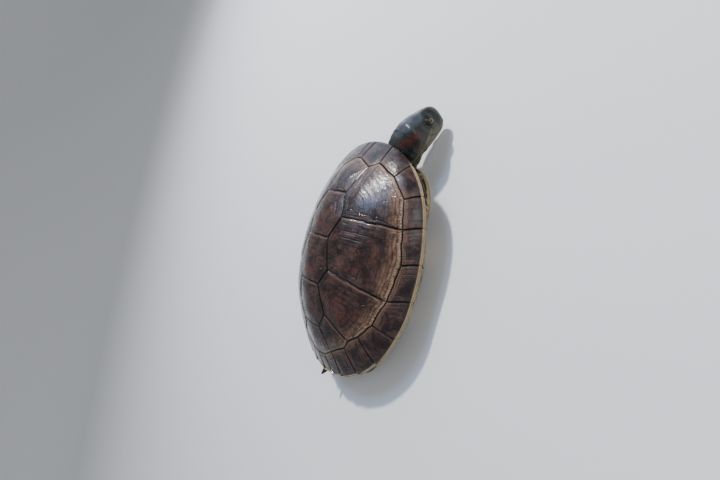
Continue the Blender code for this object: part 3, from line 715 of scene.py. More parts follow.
def plastron_mesh(index, side):
    """One plate of the underside."""
    def seam_line(k, column):
        sway = SEAM_SWAY * wander((column * 60.0, k * 31.0, side * 7.0), 8.0)
        return mix(PLASTRON_MIDLINE[k], PLASTRON_OUTER[k], column ** SEAM_BEND) + sway

    columns = round(PLASTRON_COLUMNS / FINE)
    long = abs(PLASTRON_MIDLINE[index + 1] - PLASTRON_MIDLINE[index])
    rows = []
    for u in end_shares(long, max(LEAST_ROWS, round(long / (PLASTRON_STEP * FINE)))):
        edge, rise = plastron_edge(mix(seam_line(index, 1.0), seam_line(index + 1, 1.0), u))
        below = []
        for k in range(columns + 1):
            column = 1.0 - (1.0 - k / columns) ** COLUMN_BEND
            front = seam_line(index, column) + PLASTRON_SEAM
            back = seam_line(index + 1, column) - PLASTRON_SEAM
            x = mix(PLASTRON_SEAM, edge, column)
            lift = clamp((x - PLASTRON_FLAT) / max(edge - PLASTRON_FLAT, 1.0))
            below.append(Vector((x, mix(front, back, u), rise * lift ** BRIDGE_SWEEP)))
        row, above = [], []
        for k, spot in enumerate(below):
            slope = (below[min(k + 1, columns)] - below[max(k - 1, 0)]).normalized()
            up = Vector((-slope.z, 0.0, slope.x))
            fall = edge_fall(min(u * long, (1.0 - u) * long, spot.x)) * PLASTRON_GROOVE / GROOVE
            worn = 0.10 * (wander(spot, 13.0) + 1.0) + 0.05 * (wander(spot, 4.0) + 1.0)
            worn *= mix(WORN_FLAT, 1.0, ease(spot.x, PLASTRON_FLAT, PLASTRON_FLAT + 8.0))
            growth = clamp(max(abs(u - 0.35) / 0.65, abs(k / columns - 0.72) / 0.72))
            numbers = {"growth": growth, "fall": fall / PLASTRON_GROOVE}
            row.append((spot + up * (fall + worn), numbers))
            above.append((spot + up * PLATE, numbers))
        tip = below[-1]
        rounding = (above[-1][0] - tip) / 2
        outer = (tip - below[-2]).normalized()
        for k in range(1, OUTER_STEPS):
            turn = math.pi * k / OUTER_STEPS
            spot = tip + rounding * (1.0 - math.cos(turn)) + outer * (math.sin(turn) - 1.0) * OUTER_BULGE
            row.append((spot, {"growth": 1.0, "fall": 0.0}))
        row += [above[k] for k in range(columns, -1, -INNER_SKIP)]
        rows.append([(Vector((side * spot.x, spot.y, spot.z)), numbers) for spot, numbers in row])
    return wrap(with_caps(rows))


plastron_plates = {}
for side_name, side in SIDES:
    for index, name in enumerate(PLASTRON):
        plastron_plates[f"{name}_{side_name}"] = plastron_mesh(index, side)
print("plastron plates", len(plastron_plates), "faces", sum(len(m.faces) for m in plastron_plates.values()))

# %% [markdown]
# ## Soft body
#
# The skin is one closed surface. Its parts, the trunk, neck and head, tail and legs, are each a
# sheet wrapped along a path; Boolean unions then join them. The head is worked like clay: every
# point is pushed in or out by small functions of its place on the head, which make the brow,
# the beak, the mouth line, the nostrils, the ear drum and the lids.

# %% Paths and sections
COAT = 0.30  # how deep the skin lies inside the body's solids, in millimetres
HEAD_YAW, HEAD_PITCH, HEAD_ROLL = 18.0, -30.0, 18.0
HEAD_BACK = Vector((-30.5, -105.7, 36.2))
# along the head from its back, half width, crown above the axis, jaw below it
HEAD_SECTIONS = (
    (12.0, 18.3, 15.5, 17.4), (18.0, 17.6, 16.4, 16.8), (24.0, 16.0, 16.4, 15.8), (30.0, 13.6, 15.3, 14.6),
    (36.0, 11.2, 14.4, 13.2), (41.0, 9.0, 12.7, 11.8), (44.5, 6.6, 10.1, 9.6), (46.0, 4.2, 7.1, 7.0),
)
# centre, yaw, pitch, roll, half width, half height
NECK_SECTIONS = (
    (0.0, -58.0, 21.5, 4.0, 0.0, 0.0, 17.0, 12.5),
    (-5.0, -74.0, 21.5, 12.0, 4.0, 0.0, 19.5, 13.5),
    (-12.5, -87.0, 22.5, 18.0, 5.0, 2.0, 20.5, 14.0),
    (-19.5, -96.5, 23.7, 20.0, 0.0, 6.0, 20.0, 12.9),
    (-27.0, -106.5, 26.7, 19.0, -14.0, 12.0, 20.3, 15.3),
)
EYE_RADIUS, EYE_PLACE = 4.1, Vector((31.8, 9.6, 2.4))
# centre, half width, half height along each limb
FORELEGS = {
    "left": (
        (29.0, -50.0, 24.0, 8.5, 8.5), (31.0, -66.0, 24.0, 9.0, 8.5), (38.0, -79.0, 23.5, 8.8, 8.2),
        (49.0, -82.0, 21.5, 8.0, 7.6), (57.0, -75.0, 18.5, 7.2, 6.4), (60.5, -65.0, 15.5, 7.2, 4.6),
        (61.0, -58.0, 12.8, 6.2, 3.0),
    ),
    "right": (
        (32.5, -50.0, 26.0, 7.4, 7.4), (35.0, -63.0, 27.0, 7.4, 7.4), (39.5, -74.0, 27.5, 7.2, 7.2),
        (47.5, -79.0, 27.0, 6.8, 6.4), (54.5, -75.5, 25.5, 6.4, 5.4), (58.5, -68.0, 23.0, 6.2, 4.0),
        (60.0, -63.0, 21.5, 5.6, 3.0),
    ),
}
HIND_LEG = (
    (30.0, 44.0, 21.0, 10.0, 9.5), (42.0, 58.0, 21.0, 11.0, 9.5), (50.0, 70.0, 20.0, 10.5, 9.0),
    (46.0, 82.0, 18.0, 9.0, 7.5), (37.0, 89.0, 16.0, 8.5, 5.6), (28.0, 93.0, 14.0, 8.5, 4.2),
    (20.5, 95.0, 12.5, 7.6, 3.0),
)
TAIL = (
    (0.0, 74.0, 15.0, 8.5, 8.0), (0.5, 86.0, 15.0, 7.5, 7.0), (2.5, 97.0, 16.5, 5.4, 5.2),
    (5.0, 107.0, 19.5, 3.6, 3.5), (7.5, 115.0, 22.5, 2.1, 2.1), (9.0, 120.5, 24.5, 0.9, 0.9),
)
UP = Vector((0.0, 0.0, 1.0))
FLESH_POWER = 2.3  # a section's roundness: two is an ellipse, more is squarer
LIMBS = {}
for side_name, side in SIDES:
    LIMBS[f"foreleg_{side_name}"] = (FORELEGS[side_name], side)
    LIMBS[f"hind_leg_{side_name}"] = (HIND_LEG, side)


def spline(rows, steps):
    """Rows of numbers along a smooth curve through the given rows."""
    made = []
    for k in range(len(rows) - 1):
        before, here = rows[max(k - 1, 0)], rows[k]
        after, beyond = rows[k + 1], rows[min(k + 2, len(rows) - 1)]
        for step in range(steps):
            t = step / steps
            row = []
            for a, b, c, d in zip(before, here, after, beyond):
                bend = 2 * a - 5 * b + 4 * c - d
                twist = 3 * b - a - 3 * c + d
                row.append(0.5 * (2 * b + (c - a) * t + bend * t * t + twist * t ** 3))
            made.append(row)
    made.append(list(rows[-1]))
    return made


def facing(yaw, pitch, roll):
    """Forward, left and upward directions of a section turned right, tipped up and rolled."""
    turn = Matrix.Rotation(-math.radians(yaw), 3, "Z")
    turn = turn @ Matrix.Rotation(-math.radians(pitch), 3, "X")
    turn = turn @ Matrix.Rotation(math.radians(roll), 3, "Y")
    return [turn @ Vector(axis) for axis in ((0.0, -1.0, 0.0), (1.0, 0.0, 0.0), (0.0, 0.0, 1.0))]


FORWARD, LEFT, UPWARD = facing(HEAD_YAW, HEAD_PITCH, HEAD_ROLL)


def head_place(ahead, out, up):
    """A point given along, to the left of and above the head's axis."""
    return HEAD_BACK + FORWARD * ahead + LEFT * out + UPWARD * up


def head_local(spot):
    """Along, left of and above the head's axis, for a point of the body."""
    away = spot - HEAD_BACK
    return away.dot(FORWARD), away.dot(LEFT), away.dot(UPWARD)


def oval(centre, out, up, wide, above, below, turn):
    """A point of a section at a turn round it, nought at its left and a quarter at its top."""
    cosine, sine = math.cos(turn), math.sin(turn)
    x = math.copysign(abs(cosine) ** (2.0 / FLESH_POWER), cosine) * wide
    z = math.copysign(abs(sine) ** (2.0 / FLESH_POWER), sine) * (above if sine > 0.0 else below)
    return centre + out * x + up * z


def tube(stations, sides, numbers=lambda row, around: {}, tip=None):
    """A closed sheet along stations of (centre, out, up, wide, above, below)."""
    rows = [[oval(*station, 2.0 * math.pi * k / sides) for k in range(sides)] for station in stations]
    rows = [[stations[0][0]] * sides] + rows + [[tip or stations[-1][0]] * sides]
    return wrap([[(spot, numbers(row, k / sides)) for k, spot in enumerate(line)]
                 for row, line in enumerate(rows)])


def limb_stations(path, side, steps, shrink):
    """Stations along a limb, each square to the limb's own direction."""
    rows = spline(path, steps)
    centres = [Vector((side * row[0], row[1], row[2])) for row in rows]
    made = []
    for k, (_, _, _, wide, high) in enumerate(rows):
        behind, ahead = centres[max(k - 1, 0)], centres[min(k + 1, len(rows) - 1)]
        direction = (ahead - behind).normalized()
        out = direction.cross(UP).normalized()
        made.append((centres[k], out, out.cross(direction), wide - shrink, high - shrink, high - shrink))
    return made


def neck_and_head_stations(steps):
    """Stations from inside the shell to the snout."""
    rows = [(*section, section[-1]) for section in NECK_SECTIONS]
    for along, *sizes in HEAD_SECTIONS:
        rows.append((*head_place(along, 0.0, 0.0), HEAD_YAW, HEAD_PITCH, HEAD_ROLL, *sizes))
    made = []
    for x, y, z, yaw, pitch, roll, *sizes in spline(rows, steps):
        _, left, up = facing(yaw, pitch, roll)
        made.append((Vector((x, y, z)), left, up, *(size - COAT for size in sizes)))
    return made


print("paths ready")

# %% Trunk
TRUNK_FROM, TRUNK_TO = 0.128, 0.91
TRUNK_STEPS, TRUNK_SIDES = 48, 72
FRONT_POCKET, REAR_POCKET = (0.240, 0.280), (0.685, 0.725)  # where the legs' pockets end and start
TRUNK_VAULT, TRUNK_BELLY = (1.75, 0.68), 0.8
TRUNK_IN, TRUNK_UNDER, TRUNK_OVER = 16.0, 6.5, 5.0  # clear of the shell's side, roof and floor, in mm
FRONT_BODY, REAR_BODY, FRONT_WIDENS, REAR_NARROWS = 26.0, 34.0, 100.0, 60.0
END_ROUNDING = (-0.03, 0.06)


def trunk_mesh():
    """The body inside the shell: narrow between the legs, and as wide as the shell between them."""
    bend, fullness = TRUNK_VAULT
    rows = []
    for step in range(TRUNK_STEPS + 1):
        t = step / TRUNK_STEPS
        s = mix(TRUNK_FROM, TRUNK_TO, t)
        taper = math.sqrt(clamp(1.0 - (1.0 - ease(min(t, 1.0 - t), *END_ROUNDING)) ** 2))
        front = FRONT_BODY + FRONT_WIDENS * (s - TRUNK_FROM)
        rear = REAR_BODY - REAR_NARROWS * (s - REAR_POCKET[1])
        wide = mix(front, half_width(s) - TRUNK_IN, ease(s, *FRONT_POCKET))
        wide = mix(wide, rear, ease(s, *REAR_POCKET)) * taper - COAT
        waist = rim_height(s)
        crown = (ridge_height(s) - TRUNK_UNDER - waist) * taper - COAT
        belly = (waist - TRUNK_OVER) * taper - COAT
        y = (s - 0.5) * SHELL
        row = []
        for k in range(TRUNK_SIDES):
            turn = 2.0 * math.pi * k / TRUNK_SIDES
            cosine, sine = math.cos(turn), math.sin(turn)
            if sine > 0.0:
                z = waist + crown * (1.0 - abs(cosine) ** bend) ** fullness
            else:
                z = waist - belly * abs(sine) ** TRUNK_BELLY
            row.append(((cosine * wide, y, z), {}))
        hub = [((0.0, y, waist), {})] * TRUNK_SIDES
        rows += [hub, row] if step == 0 else [row, hub] if step == TRUNK_STEPS else [row]
    return wrap(rows)


soft = {"trunk": trunk_mesh()}
print("trunk", len(soft["trunk"].faces), "faces")

# %% Legs and tail
TOE_COUNT, TOE_LENGTH, TOE_RADIUS = 5, 9.0, 1.5
TOE_SPREAD, TOE_DROOP, TOE_SHORTER = 0.35, 0.25, 0.25  # the outer toes turn out and are shorter
TOE_BURIED, TOE_INSIDE = 2.5, 1.3
TOE_FLESH = 0.62  # share of a toe that is flesh; the rest is claw
TOE_ROOT_WIDE, TOE_TIP_WIDE = 1.25, 0.95
TOE_SEGMENTS, TOE_RINGS = 14, 8
REMESH_VOXEL = 0.0007 * FINE
LIMB_STEPS, LEG_SIDES, TAIL_SIDES = 8, 40, 36


def toe_lines(path, side):
    """Each toe's root, aim and length."""
    wrist, tip = (Vector((side * row[0], row[1], row[2])) for row in path[-2:])
    direction = (tip - wrist).normalized()
    out = direction.cross(UP).normalized()
    made = []
    for k in range(TOE_COUNT):
        spread = 2.0 * k / (TOE_COUNT - 1) - 1.0
        aim = (direction + out * spread * TOE_SPREAD - Vector((0.0, 0.0, TOE_DROOP))).normalized()
        root = tip - direction * TOE_BURIED + out * spread * (path[-1][3] - TOE_INSIDE)
        made.append((root, aim, TOE_LENGTH * (1.0 - TOE_SHORTER * spread * spread)))
    return made


def rod(mesh, start, end, radius_from, radius_to):
    """A round-ended rod added to a mesh, in millimetres of the body."""
    turn = (end - start).normalized().to_track_quat("Z", "Y").to_matrix().to_4x4()
    bmesh.ops.create_cone(
        mesh, cap_ends=True, segments=TOE_SEGMENTS, radius1=radius_from * MM, radius2=radius_to * MM,
        depth=(end - start).length * MM, matrix=Matrix.Translation(world(*((start + end) / 2))) @ turn)
    for centre, radius in ((start, radius_from), (end, radius_to)):
        bmesh.ops.create_uvsphere(mesh, u_segments=TOE_SEGMENTS, v_segments=TOE_RINGS,
                                  radius=radius * MM, matrix=Matrix.Translation(world(*centre)))


def with_modifiers(piece):
    """The mesh that a piece's modifiers make; the piece itself is removed."""
    evaluated = piece.evaluated_get(bpy.context.evaluated_depsgraph_get())
    made = bmesh.new()
    made.from_mesh(evaluated.to_mesh())
    evaluated.to_mesh_clear()
    bpy.data.objects.remove(piece)
    return made


def leg_mesh(path, side):
    """A leg and its toes, melted into one and smoothed, which leaves webs between the toes."""
    mesh = tube(limb_stations(path, side, LIMB_STEPS, COAT), LEG_SIDES)
    for root, aim, length in toe_lines(path, side):
        end = root + aim * length * TOE_FLESH
        rod(mesh, root, end, TOE_RADIUS * TOE_ROOT_WIDE, TOE_RADIUS * TOE_TIP_WIDE)
    rough = as_object("rough", mesh)
    melt = rough.modifiers.new("melt", "REMESH")
    melt.mode, melt.voxel_size = "VOXEL", REMESH_VOXEL
    made = with_modifiers(rough)
    for _ in range(3):
        bmesh.ops.smooth_vert(made, verts=made.verts, factor=0.5, use_axis_x=True, use_axis_y=True,
                              use_axis_z=True)
    return made


for name, (path, side) in LIMBS.items():
    soft[name] = leg_mesh(path, side)
soft["tail"] = tube(limb_stations(TAIL, 1.0, LIMB_STEPS, COAT / 2), TAIL_SIDES)
print({name: len(mesh.faces) for name, mesh in soft.items()})

# %% [markdown]
# ### Head and neck
#
# One sheet runs from inside the shell to the tip of the snout, so no seam crosses the neck. It
# remembers how far along the neck and how far round it each point lies; folds, stripes and
# scales are laid out by those two numbers. Where the eyes and the mouth come, the sheet is
# divided finer before it is worked.

# %% Head and neck sheet
HEAD_SIDES, HEAD_STEPS = round(176 / FINE), round(11 / FINE)
SNOUT_ROUNDING = ((0.16, 0.96), (0.28, 0.84), (0.36, 0.64), (0.40, 0.38))  # ahead in mm, size
SNOUT_END = 0.02


def head_sheet():
    """The neck and head, rounded off at the snout."""
    stations = neck_and_head_stations(HEAD_STEPS)
    tip, left, up, wide, above, below = stations[-1]
    chin = (above - below) / 2
    for ahead, size in SNOUT_ROUNDING:
        middle = tip + up * chin * (1.0 - size) + FORWARD * ahead
        stations.append((middle, left, up, wide * size, above * size, below * size))
    lengths = lengths_along([station[0] for station in stations])

    def numbers(row, around):
        return {"along": lengths[clamp(row - 1, 0, len(lengths) - 1)], "around": around}

    end = tip + up * chin + FORWARD * (SNOUT_ROUNDING[-1][0] + SNOUT_END)
    return tube(stations, HEAD_SIDES, numbers, end)


def body_spot(vertex):
    """A vertex's place in millimetres of the body, the other way round from world."""
    return Vector((vertex.co.x / MM, (vertex.co.y - BODY_Y) / MM, vertex.co.z / MM))


def divide_near(mesh, near):
    """Cuts in two every edge whose two ends are near."""
    chosen = {vertex for vertex in mesh.verts if near(*head_local(body_spot(vertex)))}
    edges = [edge for edge in mesh.edges if edge.verts[0] in chosen and edge.verts[1] in chosen]
    bmesh.ops.subdivide_edges(mesh, edges=edges, cuts=1, use_grid_fill=True)


# the mouth's line, then places along and above the head's axis, all in millimetres
MOUTH = ((23.5, -5.2), (26.0, -6.2), (32.0, -7.8), (40.0, -7.5), (44.0, -6.3), (47.0, -5.4))
MOUTH_DEPTH, MOUTH_WIDTH = 0.75, 0.30
EAR, EAR_RADIUS = (16.3, -1.6), 3.9
NOSTRIL, NOSTRIL_RADIUS = (1.7, -1.0), 0.55
LID_MIDDLE, LID_NEAR, LID_NEAREST = (EYE_PLACE.x + 0.5, EYE_PLACE.y + 2.4, EYE_PLACE.z + 0.4), 6.4, 4.6


def near_eye(ahead, out, up, reach=LID_NEAR):
    return math.dist((ahead, abs(out), up), LID_MIDDLE) < reach


def near_mouth(ahead, out, up):
    """Beside the line of the mouth, or at the front of the snout."""
    return ahead > 21.5 and abs(up - read_line(MOUTH, ahead)) < 1.3 or ahead > 44.5 and -7.0 < up < 1.0


neck_and_head = head_sheet()
print("sheet", len(neck_and_head.faces), "faces")
divide_near(neck_and_head, lambda *spot: near_eye(*spot) or near_mouth(*spot))
if FINE == 1.0:
    divide_near(neck_and_head, lambda *spot: near_eye(*spot, reach=LID_NEAREST))
print("after dividing", len(neck_and_head.faces), "faces")

# %% [markdown]
# The head is then worked along its own surface: a positive push raises the skin, a negative one
# presses it in. Each feature is one line, so any of them can be made stronger or moved.

# %% Features of the head
FOLD_STEP = 5.2  # between two folds of the neck, in millimetres


def head_push(ahead, out, up):
    """How far the skin is raised at a place of the head, in millimetres."""
    side = abs(out)
    push = 0.55 * bell(ahead, 31.0, 6.0) * bell(up, 7.6, 1.6) * ease(side, 4.0, 8.0)  # brow
    push -= 0.60 * bell(ahead, 33.0, 7.5) * bell(side, 0.0, 4.2) * ease(up, 5.5, 9.0)  # between brows
    push -= 0.25 * bell(ahead, 21.0, 8.0) * ease(up, 10.5, 14.0)  # flat crown
    push -= 0.60 * bell(ahead, 39.0, 2.8) * bell(up, 0.8, 2.3) * ease(side, 2.5, 5.0)  # before the eye
    push -= 0.50 * bell(ahead, 24.3, 1.9) * bell(up, 2.8, 3.4) * ease(side, 8.0, 12.0)  # behind the eye
    push += 0.30 * bell(ahead, 19.0, 5.0) * bell(up, -9.0, 4.0) * ease(side, 6.0, 12.0)  # jaw muscle
    push -= 0.50 * bell(ahead, 9.0, 3.2) * ease(side, 7.0, 13.0) * bell(up, -4.0, 9.0)  # behind the jaw
    if side > 9.0:
        away = math.hypot(ahead - EAR[0], up - EAR[1])
        push -= 0.40 * bell(away, EAR_RADIUS, 0.5) + 0.16 * (1.0 - ease(away, EAR_RADIUS - 1.0, EAR_RADIUS))
    if ahead > 22.0:
        opened = ease(ahead, 22.8, 25.5)
        off = up - read_line(MOUTH, ahead)
        lower = ease(ahead, 27.0, 36.0) * ease(-off, 0.0, 0.3) * (1.0 - ease(-off, 1.0, 4.5))
        push -= MOUTH_DEPTH * opened * bell(off, -0.1, MOUTH_WIDTH)
        push += 0.30 * opened * ease(off, 0.0, 0.35) * (1.0 - ease(off, 0.9, 3.4))  # upper beak
        push -= 0.42 * opened * lower  # lower beak, which closes inside the upper one
    if ahead > 44.6 and up > -3.5:
        away = math.hypot(side - NOSTRIL[0], up - NOSTRIL[1])
        push -= 0.95 * (1.0 - ease(away, NOSTRIL_RADIUS * 0.45, NOSTRIL_RADIUS * 1.15))
        push += 0.10 * bell(away, NOSTRIL_RADIUS * 1.75, 0.3)
    return push


def neck_push(ahead, along, around, spot):
    """Folds across the neck, deepest on the side that it bends to."""
    loose = 1.0 - ease(ahead, 2.0, 11.0)
    inner = 0.55 + 0.45 * math.cos(2.0 * math.pi * (around - 0.5))
    phase = along / FOLD_STEP + 0.55 * wander(spot, 14.0, 3.0) + 0.16 * wander(spot, 4.0, 5.0)
    roll = abs(math.sin(math.pi * phase)) ** 0.55 - 0.8
    return loose * ((0.28 + 0.85 * inner) * roll + 0.30 * wander(spot, 6.0, 8.0))


neck_and_head.normal_update()
along_layer, around_layer = (neck_and_head.verts.layers.float[name] for name in ("along", "around"))
pushes = []
for vertex in neck_and_head.verts:
    spot = body_spot(vertex)
    ahead, out, up = head_local(spot)
    push = neck_push(ahead, vertex[along_layer], vertex[around_layer], spot)
    pushes.append(push + head_push(ahead, out, up) if ahead > 0.0 else push)
for vertex, push in zip(neck_and_head.verts, pushes):
    vertex.co += vertex.normal * push * MM
print("features up to", round(max(pushes), 2), "down to", round(min(pushes), 2), "mm")

# %% [markdown]
# The lids are the skin round each eye, laid over the eyeball. Seen along the eye's own axis the
# opening is an ellipse; inside it the skin goes down behind the ball, at its edge it stands a
# little proud as a rounded rim, and farther out it runs back into the face.

# %% Lids
OPENING = (3.75, 2.85)  # half the opening along the head and across it, in millimetres
LID_OVER, LID_RIM, LID_CREASE, BEHIND_BALL = 0.42, 0.12, 0.16, 0.9
LID_RUN_OUT = (1.30, 2.25)  # where the lid runs back into the face, in openings from the eye's axis
LID_REACH = 10.0
EYE_AXIS, EYE_FORE = Vector((0.26, 0.92, 0.28)).normalized(), Vector((1.0, 0.0, -0.14))


def eye_frame(side):
    """An eye's middle, and its directions outwards, forwards and across."""
    eye = Vector((EYE_PLACE.x, side * EYE_PLACE.y, EYE_PLACE.z))
    axis = Vector((EYE_AXIS.x, side * EYE_AXIS.y, EYE_AXIS.z))
    fore = (EYE_FORE - axis * axis.dot(EYE_FORE)).normalized()
    return eye, axis, fore, axis.cross(fore)


def lid_reach(e):
    """Distance of the skin from the middle of the eye, for a place e openings from its axis."""
    rim = EYE_RADIUS + LID_OVER + LID_RIM * bell(e, 1.10, 0.09) - LID_CREASE * bell(e, 1.36, 0.10)
    return mix(EYE_RADIUS - BEHIND_BALL, rim, ease(e, 0.90, 1.03))


def lay_lids(mesh, side):
    """Moves the skin round an eye; returns how many points it moved."""
    eye, axis, fore, across = eye_frame(side)
    moved = 0
    for vertex in mesh.verts:
        away = Vector(head_local(body_spot(vertex))) - eye
        if away.length > LID_REACH or away.dot(axis) <= 0.0:
            continue
        direction = away.normalized()
        flat = direction - axis * direction.dot(axis)
        if flat.length < 1e-6:
            flat = fore.copy()
        flat = flat.normalized() * direction.angle(axis) * EYE_RADIUS
        e = math.hypot(flat.dot(fore) / OPENING[0], flat.dot(across) / OPENING[1])
        kept = ease(e, *LID_RUN_OUT)
        reach = mix(lid_reach(e), away.length, kept)
        vertex.co = world(*head_place(*(eye + direction * reach)))
        moved += kept < 1.0
    return moved


print("lid points", [lay_lids(neck_and_head, side) for _, side in SIDES])
soft["neck"] = neck_and_head

# %% [markdown]
# ### Markings and one skin
#
# The parts are joined by Boolean unions. Every point then looks up the nearest point of the part
# it came from for how far along and round the limb it is, and one function turns that into the
# markings: dull red behind the eye, faint pale stripes, a cream throat and horn on the beak. The
# same function paints shade round the eye, on the sides of the snout and low on the head's sides,
# and a cool painted sheen, a painted reflection of the sky, on the crown. A scale later copies the
# marks of the point that it stands on, so it matches the skin under it.

# %% Markings
# the last mark is painted shade, and below nought it is a painted sheen
MARKS = ("along", "around", "red", "stripe", "pale", "horn", "dusk")
SIDE_STRIPE = ((-4.0, -16.0), (3.0, -14.2), (14.3, -9.5), (24.0, -5.4), (29.5, -2.6))
RED_LINE = ((-12.0, 4.5), (2.0, 2.6), (12.0, 2.2), (19.0, 0.4), (25.5, 0.6))
SOCKET = (EYE_PLACE.x + 0.8, EYE_PLACE.y + 2.6, EYE_PLACE.z - 0.2)
# stripes along the neck and along the limbs: where they run round it, in degrees
THROAT_STRIPES = (222.0, 239.0, 256.0, 270.0, 284.0, 301.0, 318.0)
NAPE_STRIPES = (198.0, 342.0, 62.0, 78.0, 102.0, 118.0)
LIMB_STRIPES = (20.0, 75.0, 150.0, 205.0, 250.0, 290.0, 335.0)
BELOW = 270.0


def fine_line(distance, half):
    """One on a line, nought beside it."""
    return 1.0 - ease(abs(distance), half * 0.55, half * 1.3)


def apart(a, b):
    """The angle between two turns, in degrees."""
    return math.remainder(a - b, 360.0)


def neck_markings(around, spot):
    """Red, pale stripe, cream, horn and dusk on the neck and head."""
    ahead, out, up = head_local(spot)
    side = abs(out)
    ragged = 0.5 * wander(spot, 2.4, 2.0)
    flank = ease(side, 4.0, 8.0)
    thick = 3.0 * ease(ahead, -7.0, 6.0) * (1.0 - 0.6 * ease(ahead, 10.0, 23.0))
    off = abs(up - read_line(RED_LINE, ahead)) + 2.6 * ragged
    red = flank * (1.0 - ease(off, thick - 2.2, thick + 1.8)) * (0.85 + 0.5 * wander(spot, 3.5, 6.0))
    red = clamp(red * (1.0 - ease(ahead, 13.0, 23.0)))
    turn = 360.0 * around
    stripe = horn = 0.0
    for middle in THROAT_STRIPES:
        stripe = max(stripe, fine_line(apart(turn + 4.0 * ragged, middle), 3.2 if middle != BELOW else 4.5))
    for middle in NAPE_STRIPES:
        stripe = max(stripe, 0.35 * fine_line(apart(turn + 3.0 * ragged, middle), 2.0))
    stripe *= 1.0 - ease(ahead, 33.0, 38.0)
    if side > 3.0 and -4.0 < ahead < 30.0:
        stripe = max(stripe, fine_line(up - read_line(SIDE_STRIPE, ahead) + 0.6 * ragged, 1.05))
    if ahead > 24.0:
        off = up - read_line(MOUTH, ahead)
        stripe = max(stripe, 0.8 * fine_line(off + 2.6 + 0.5 * ragged, 0.8) * ease(ahead, 24.0, 27.0))
        horn = ease(ahead, 28.0, 33.0) * (1.0 - ease(off, 1.2, 2.4)) * (1.0 - ease(-off, 1.8, 3.0))
    socket = math.dist((ahead, side, up), SOCKET)
    # painted shade: darker round the eye's socket, on the sides of the snout and low on the head's sides
    dusk = max(1.0 - ease(socket + 1.5 * ragged, 4.2, 7.8),
               0.75 * ease(ahead, 34.0, 40.0) * (1.0 - ease(side, 6.0, 2.0)),
               0.55 * flank * bell(up, -2.0, 6.0) * (1.0 - ease(ahead, 26.0, 31.0)))
    # painted sheen: a bluish painted reflection of the sky on the top of the neck and the back of the head
    painted_sheen = 0.6 * ease(up, 4.5, 11.0) * (1.0 - ease(ahead, 28.0, 38.0)) * (0.8 + 0.4 * wander(spot, 6.0, 9.0))
    low = ease(abs(apart(turn, BELOW)), 100.0, 40.0)
    pale = low * (0.45 + 0.3 * wander(spot, 7.0, 1.0)) * (1.0 - 0.5 * ease(ahead, 34.0, 40.0))
    return red, stripe, pale, horn, dusk - painted_sheen


def markings(part, around, spot):
    """Red, pale stripe, cream, horn and painted shade, nought to one; shade below nought is painted sheen."""
    if part == "neck":
        return neck_markings(around, spot)
    if part == "trunk":
        return (0.0,) * 5
    turn = 360.0 * around + 7.0 * wander(spot, 5.0, 4.0)
    stripe = max(0.8 * fine_line(apart(turn, middle), 6.5) for middle in LIMB_STRIPES)
    return 0.0, stripe, 0.35 * ease(abs(apart(turn, BELOW)), 80.0, 30.0), 0.0, 0.0


print("marks", MARKS)

# %% Joining the parts
READER_STEPS = 4


def path_reader(path, side):
    """A function giving how far along and round a limb a spot lies."""
    stations = limb_stations(path, side, READER_STEPS, 0.0)
    lengths = lengths_along([station[0] for station in stations])

    def read(spot):
        k = min(range(len(stations)), key=lambda index: (stations[index][0] - spot).length_squared)
        centre, out, up = stations[k][:3]
        away = spot - centre
        along = lengths[k] - away.dot(up.cross(out))
        return along, (math.atan2(away.dot(up), away.dot(out)) / (2.0 * math.pi)) % 1.0

    return read


readers = {name: path_reader(path, side) for name, (path, side) in LIMBS.items()}
readers["tail"] = path_reader(TAIL, 1.0)

known, places = [], []  # part, along and around for every point before the parts are joined
for part, mesh in soft.items():
    layers = [mesh.verts.layers.float.get(name) for name in ("along", "around")]
    for vertex in mesh.verts:
        places.append(vertex.co.copy())
        if layers[0]:
            known.append((part, vertex[layers[0]], vertex[layers[1]]))
        else:
            known.append((part, *(readers[part](body_spot(vertex)) if part in readers else (0.0, 0.0))))
lookup = kdtree.KDTree(len(places))
for index, place in enumerate(places):
    lookup.insert(place, index)
lookup.balance()

body = as_object("joined", soft.pop("trunk"))
joined_parts = [as_object(f"part_{part}", mesh) for part, mesh in soft.items()]
for piece in joined_parts:
    join = body.modifiers.new(piece.name, "BOOLEAN")
    join.operation, join.solver, join.object = "UNION", "EXACT", piece
skin_mesh = with_modifiers(body)
for piece in joined_parts:
    bpy.data.objects.remove(piece)
open_edges = sum(not edge.is_manifold for edge in skin_mesh.edges)
print("skin", len(skin_mesh.faces), "faces,", open_edges, "open edges")

# %% Markings on the skin
mark_layers = number_layers(skin_mesh, MARKS)
belongs = []
for vertex in skin_mesh.verts:
    part, along, around = known[lookup.find(vertex.co)[1]]
    belongs.append(part)
    numbers = (along, around, *markings(part, around, body_spot(vertex)))
    for name, value in zip(MARKS, numbers):
        vertex[mark_layers[name]] = value
print({part: belongs.count(part) for part in sorted(set(belongs))})

# %% [markdown]
# ## Finishes
#
# Horn, skin and eyes are all wet, so each is a matt colour under a thin clear coat. The colours
# are built from a few effects that several finishes share: growth rings, comb-like teeth across
# them, blotches, and the unevenness of a drying film of water. Each effect is a node group that
# gives masks and heights; every finish chooses its own colours for them and lays them over one
# another, from the ground colour up.

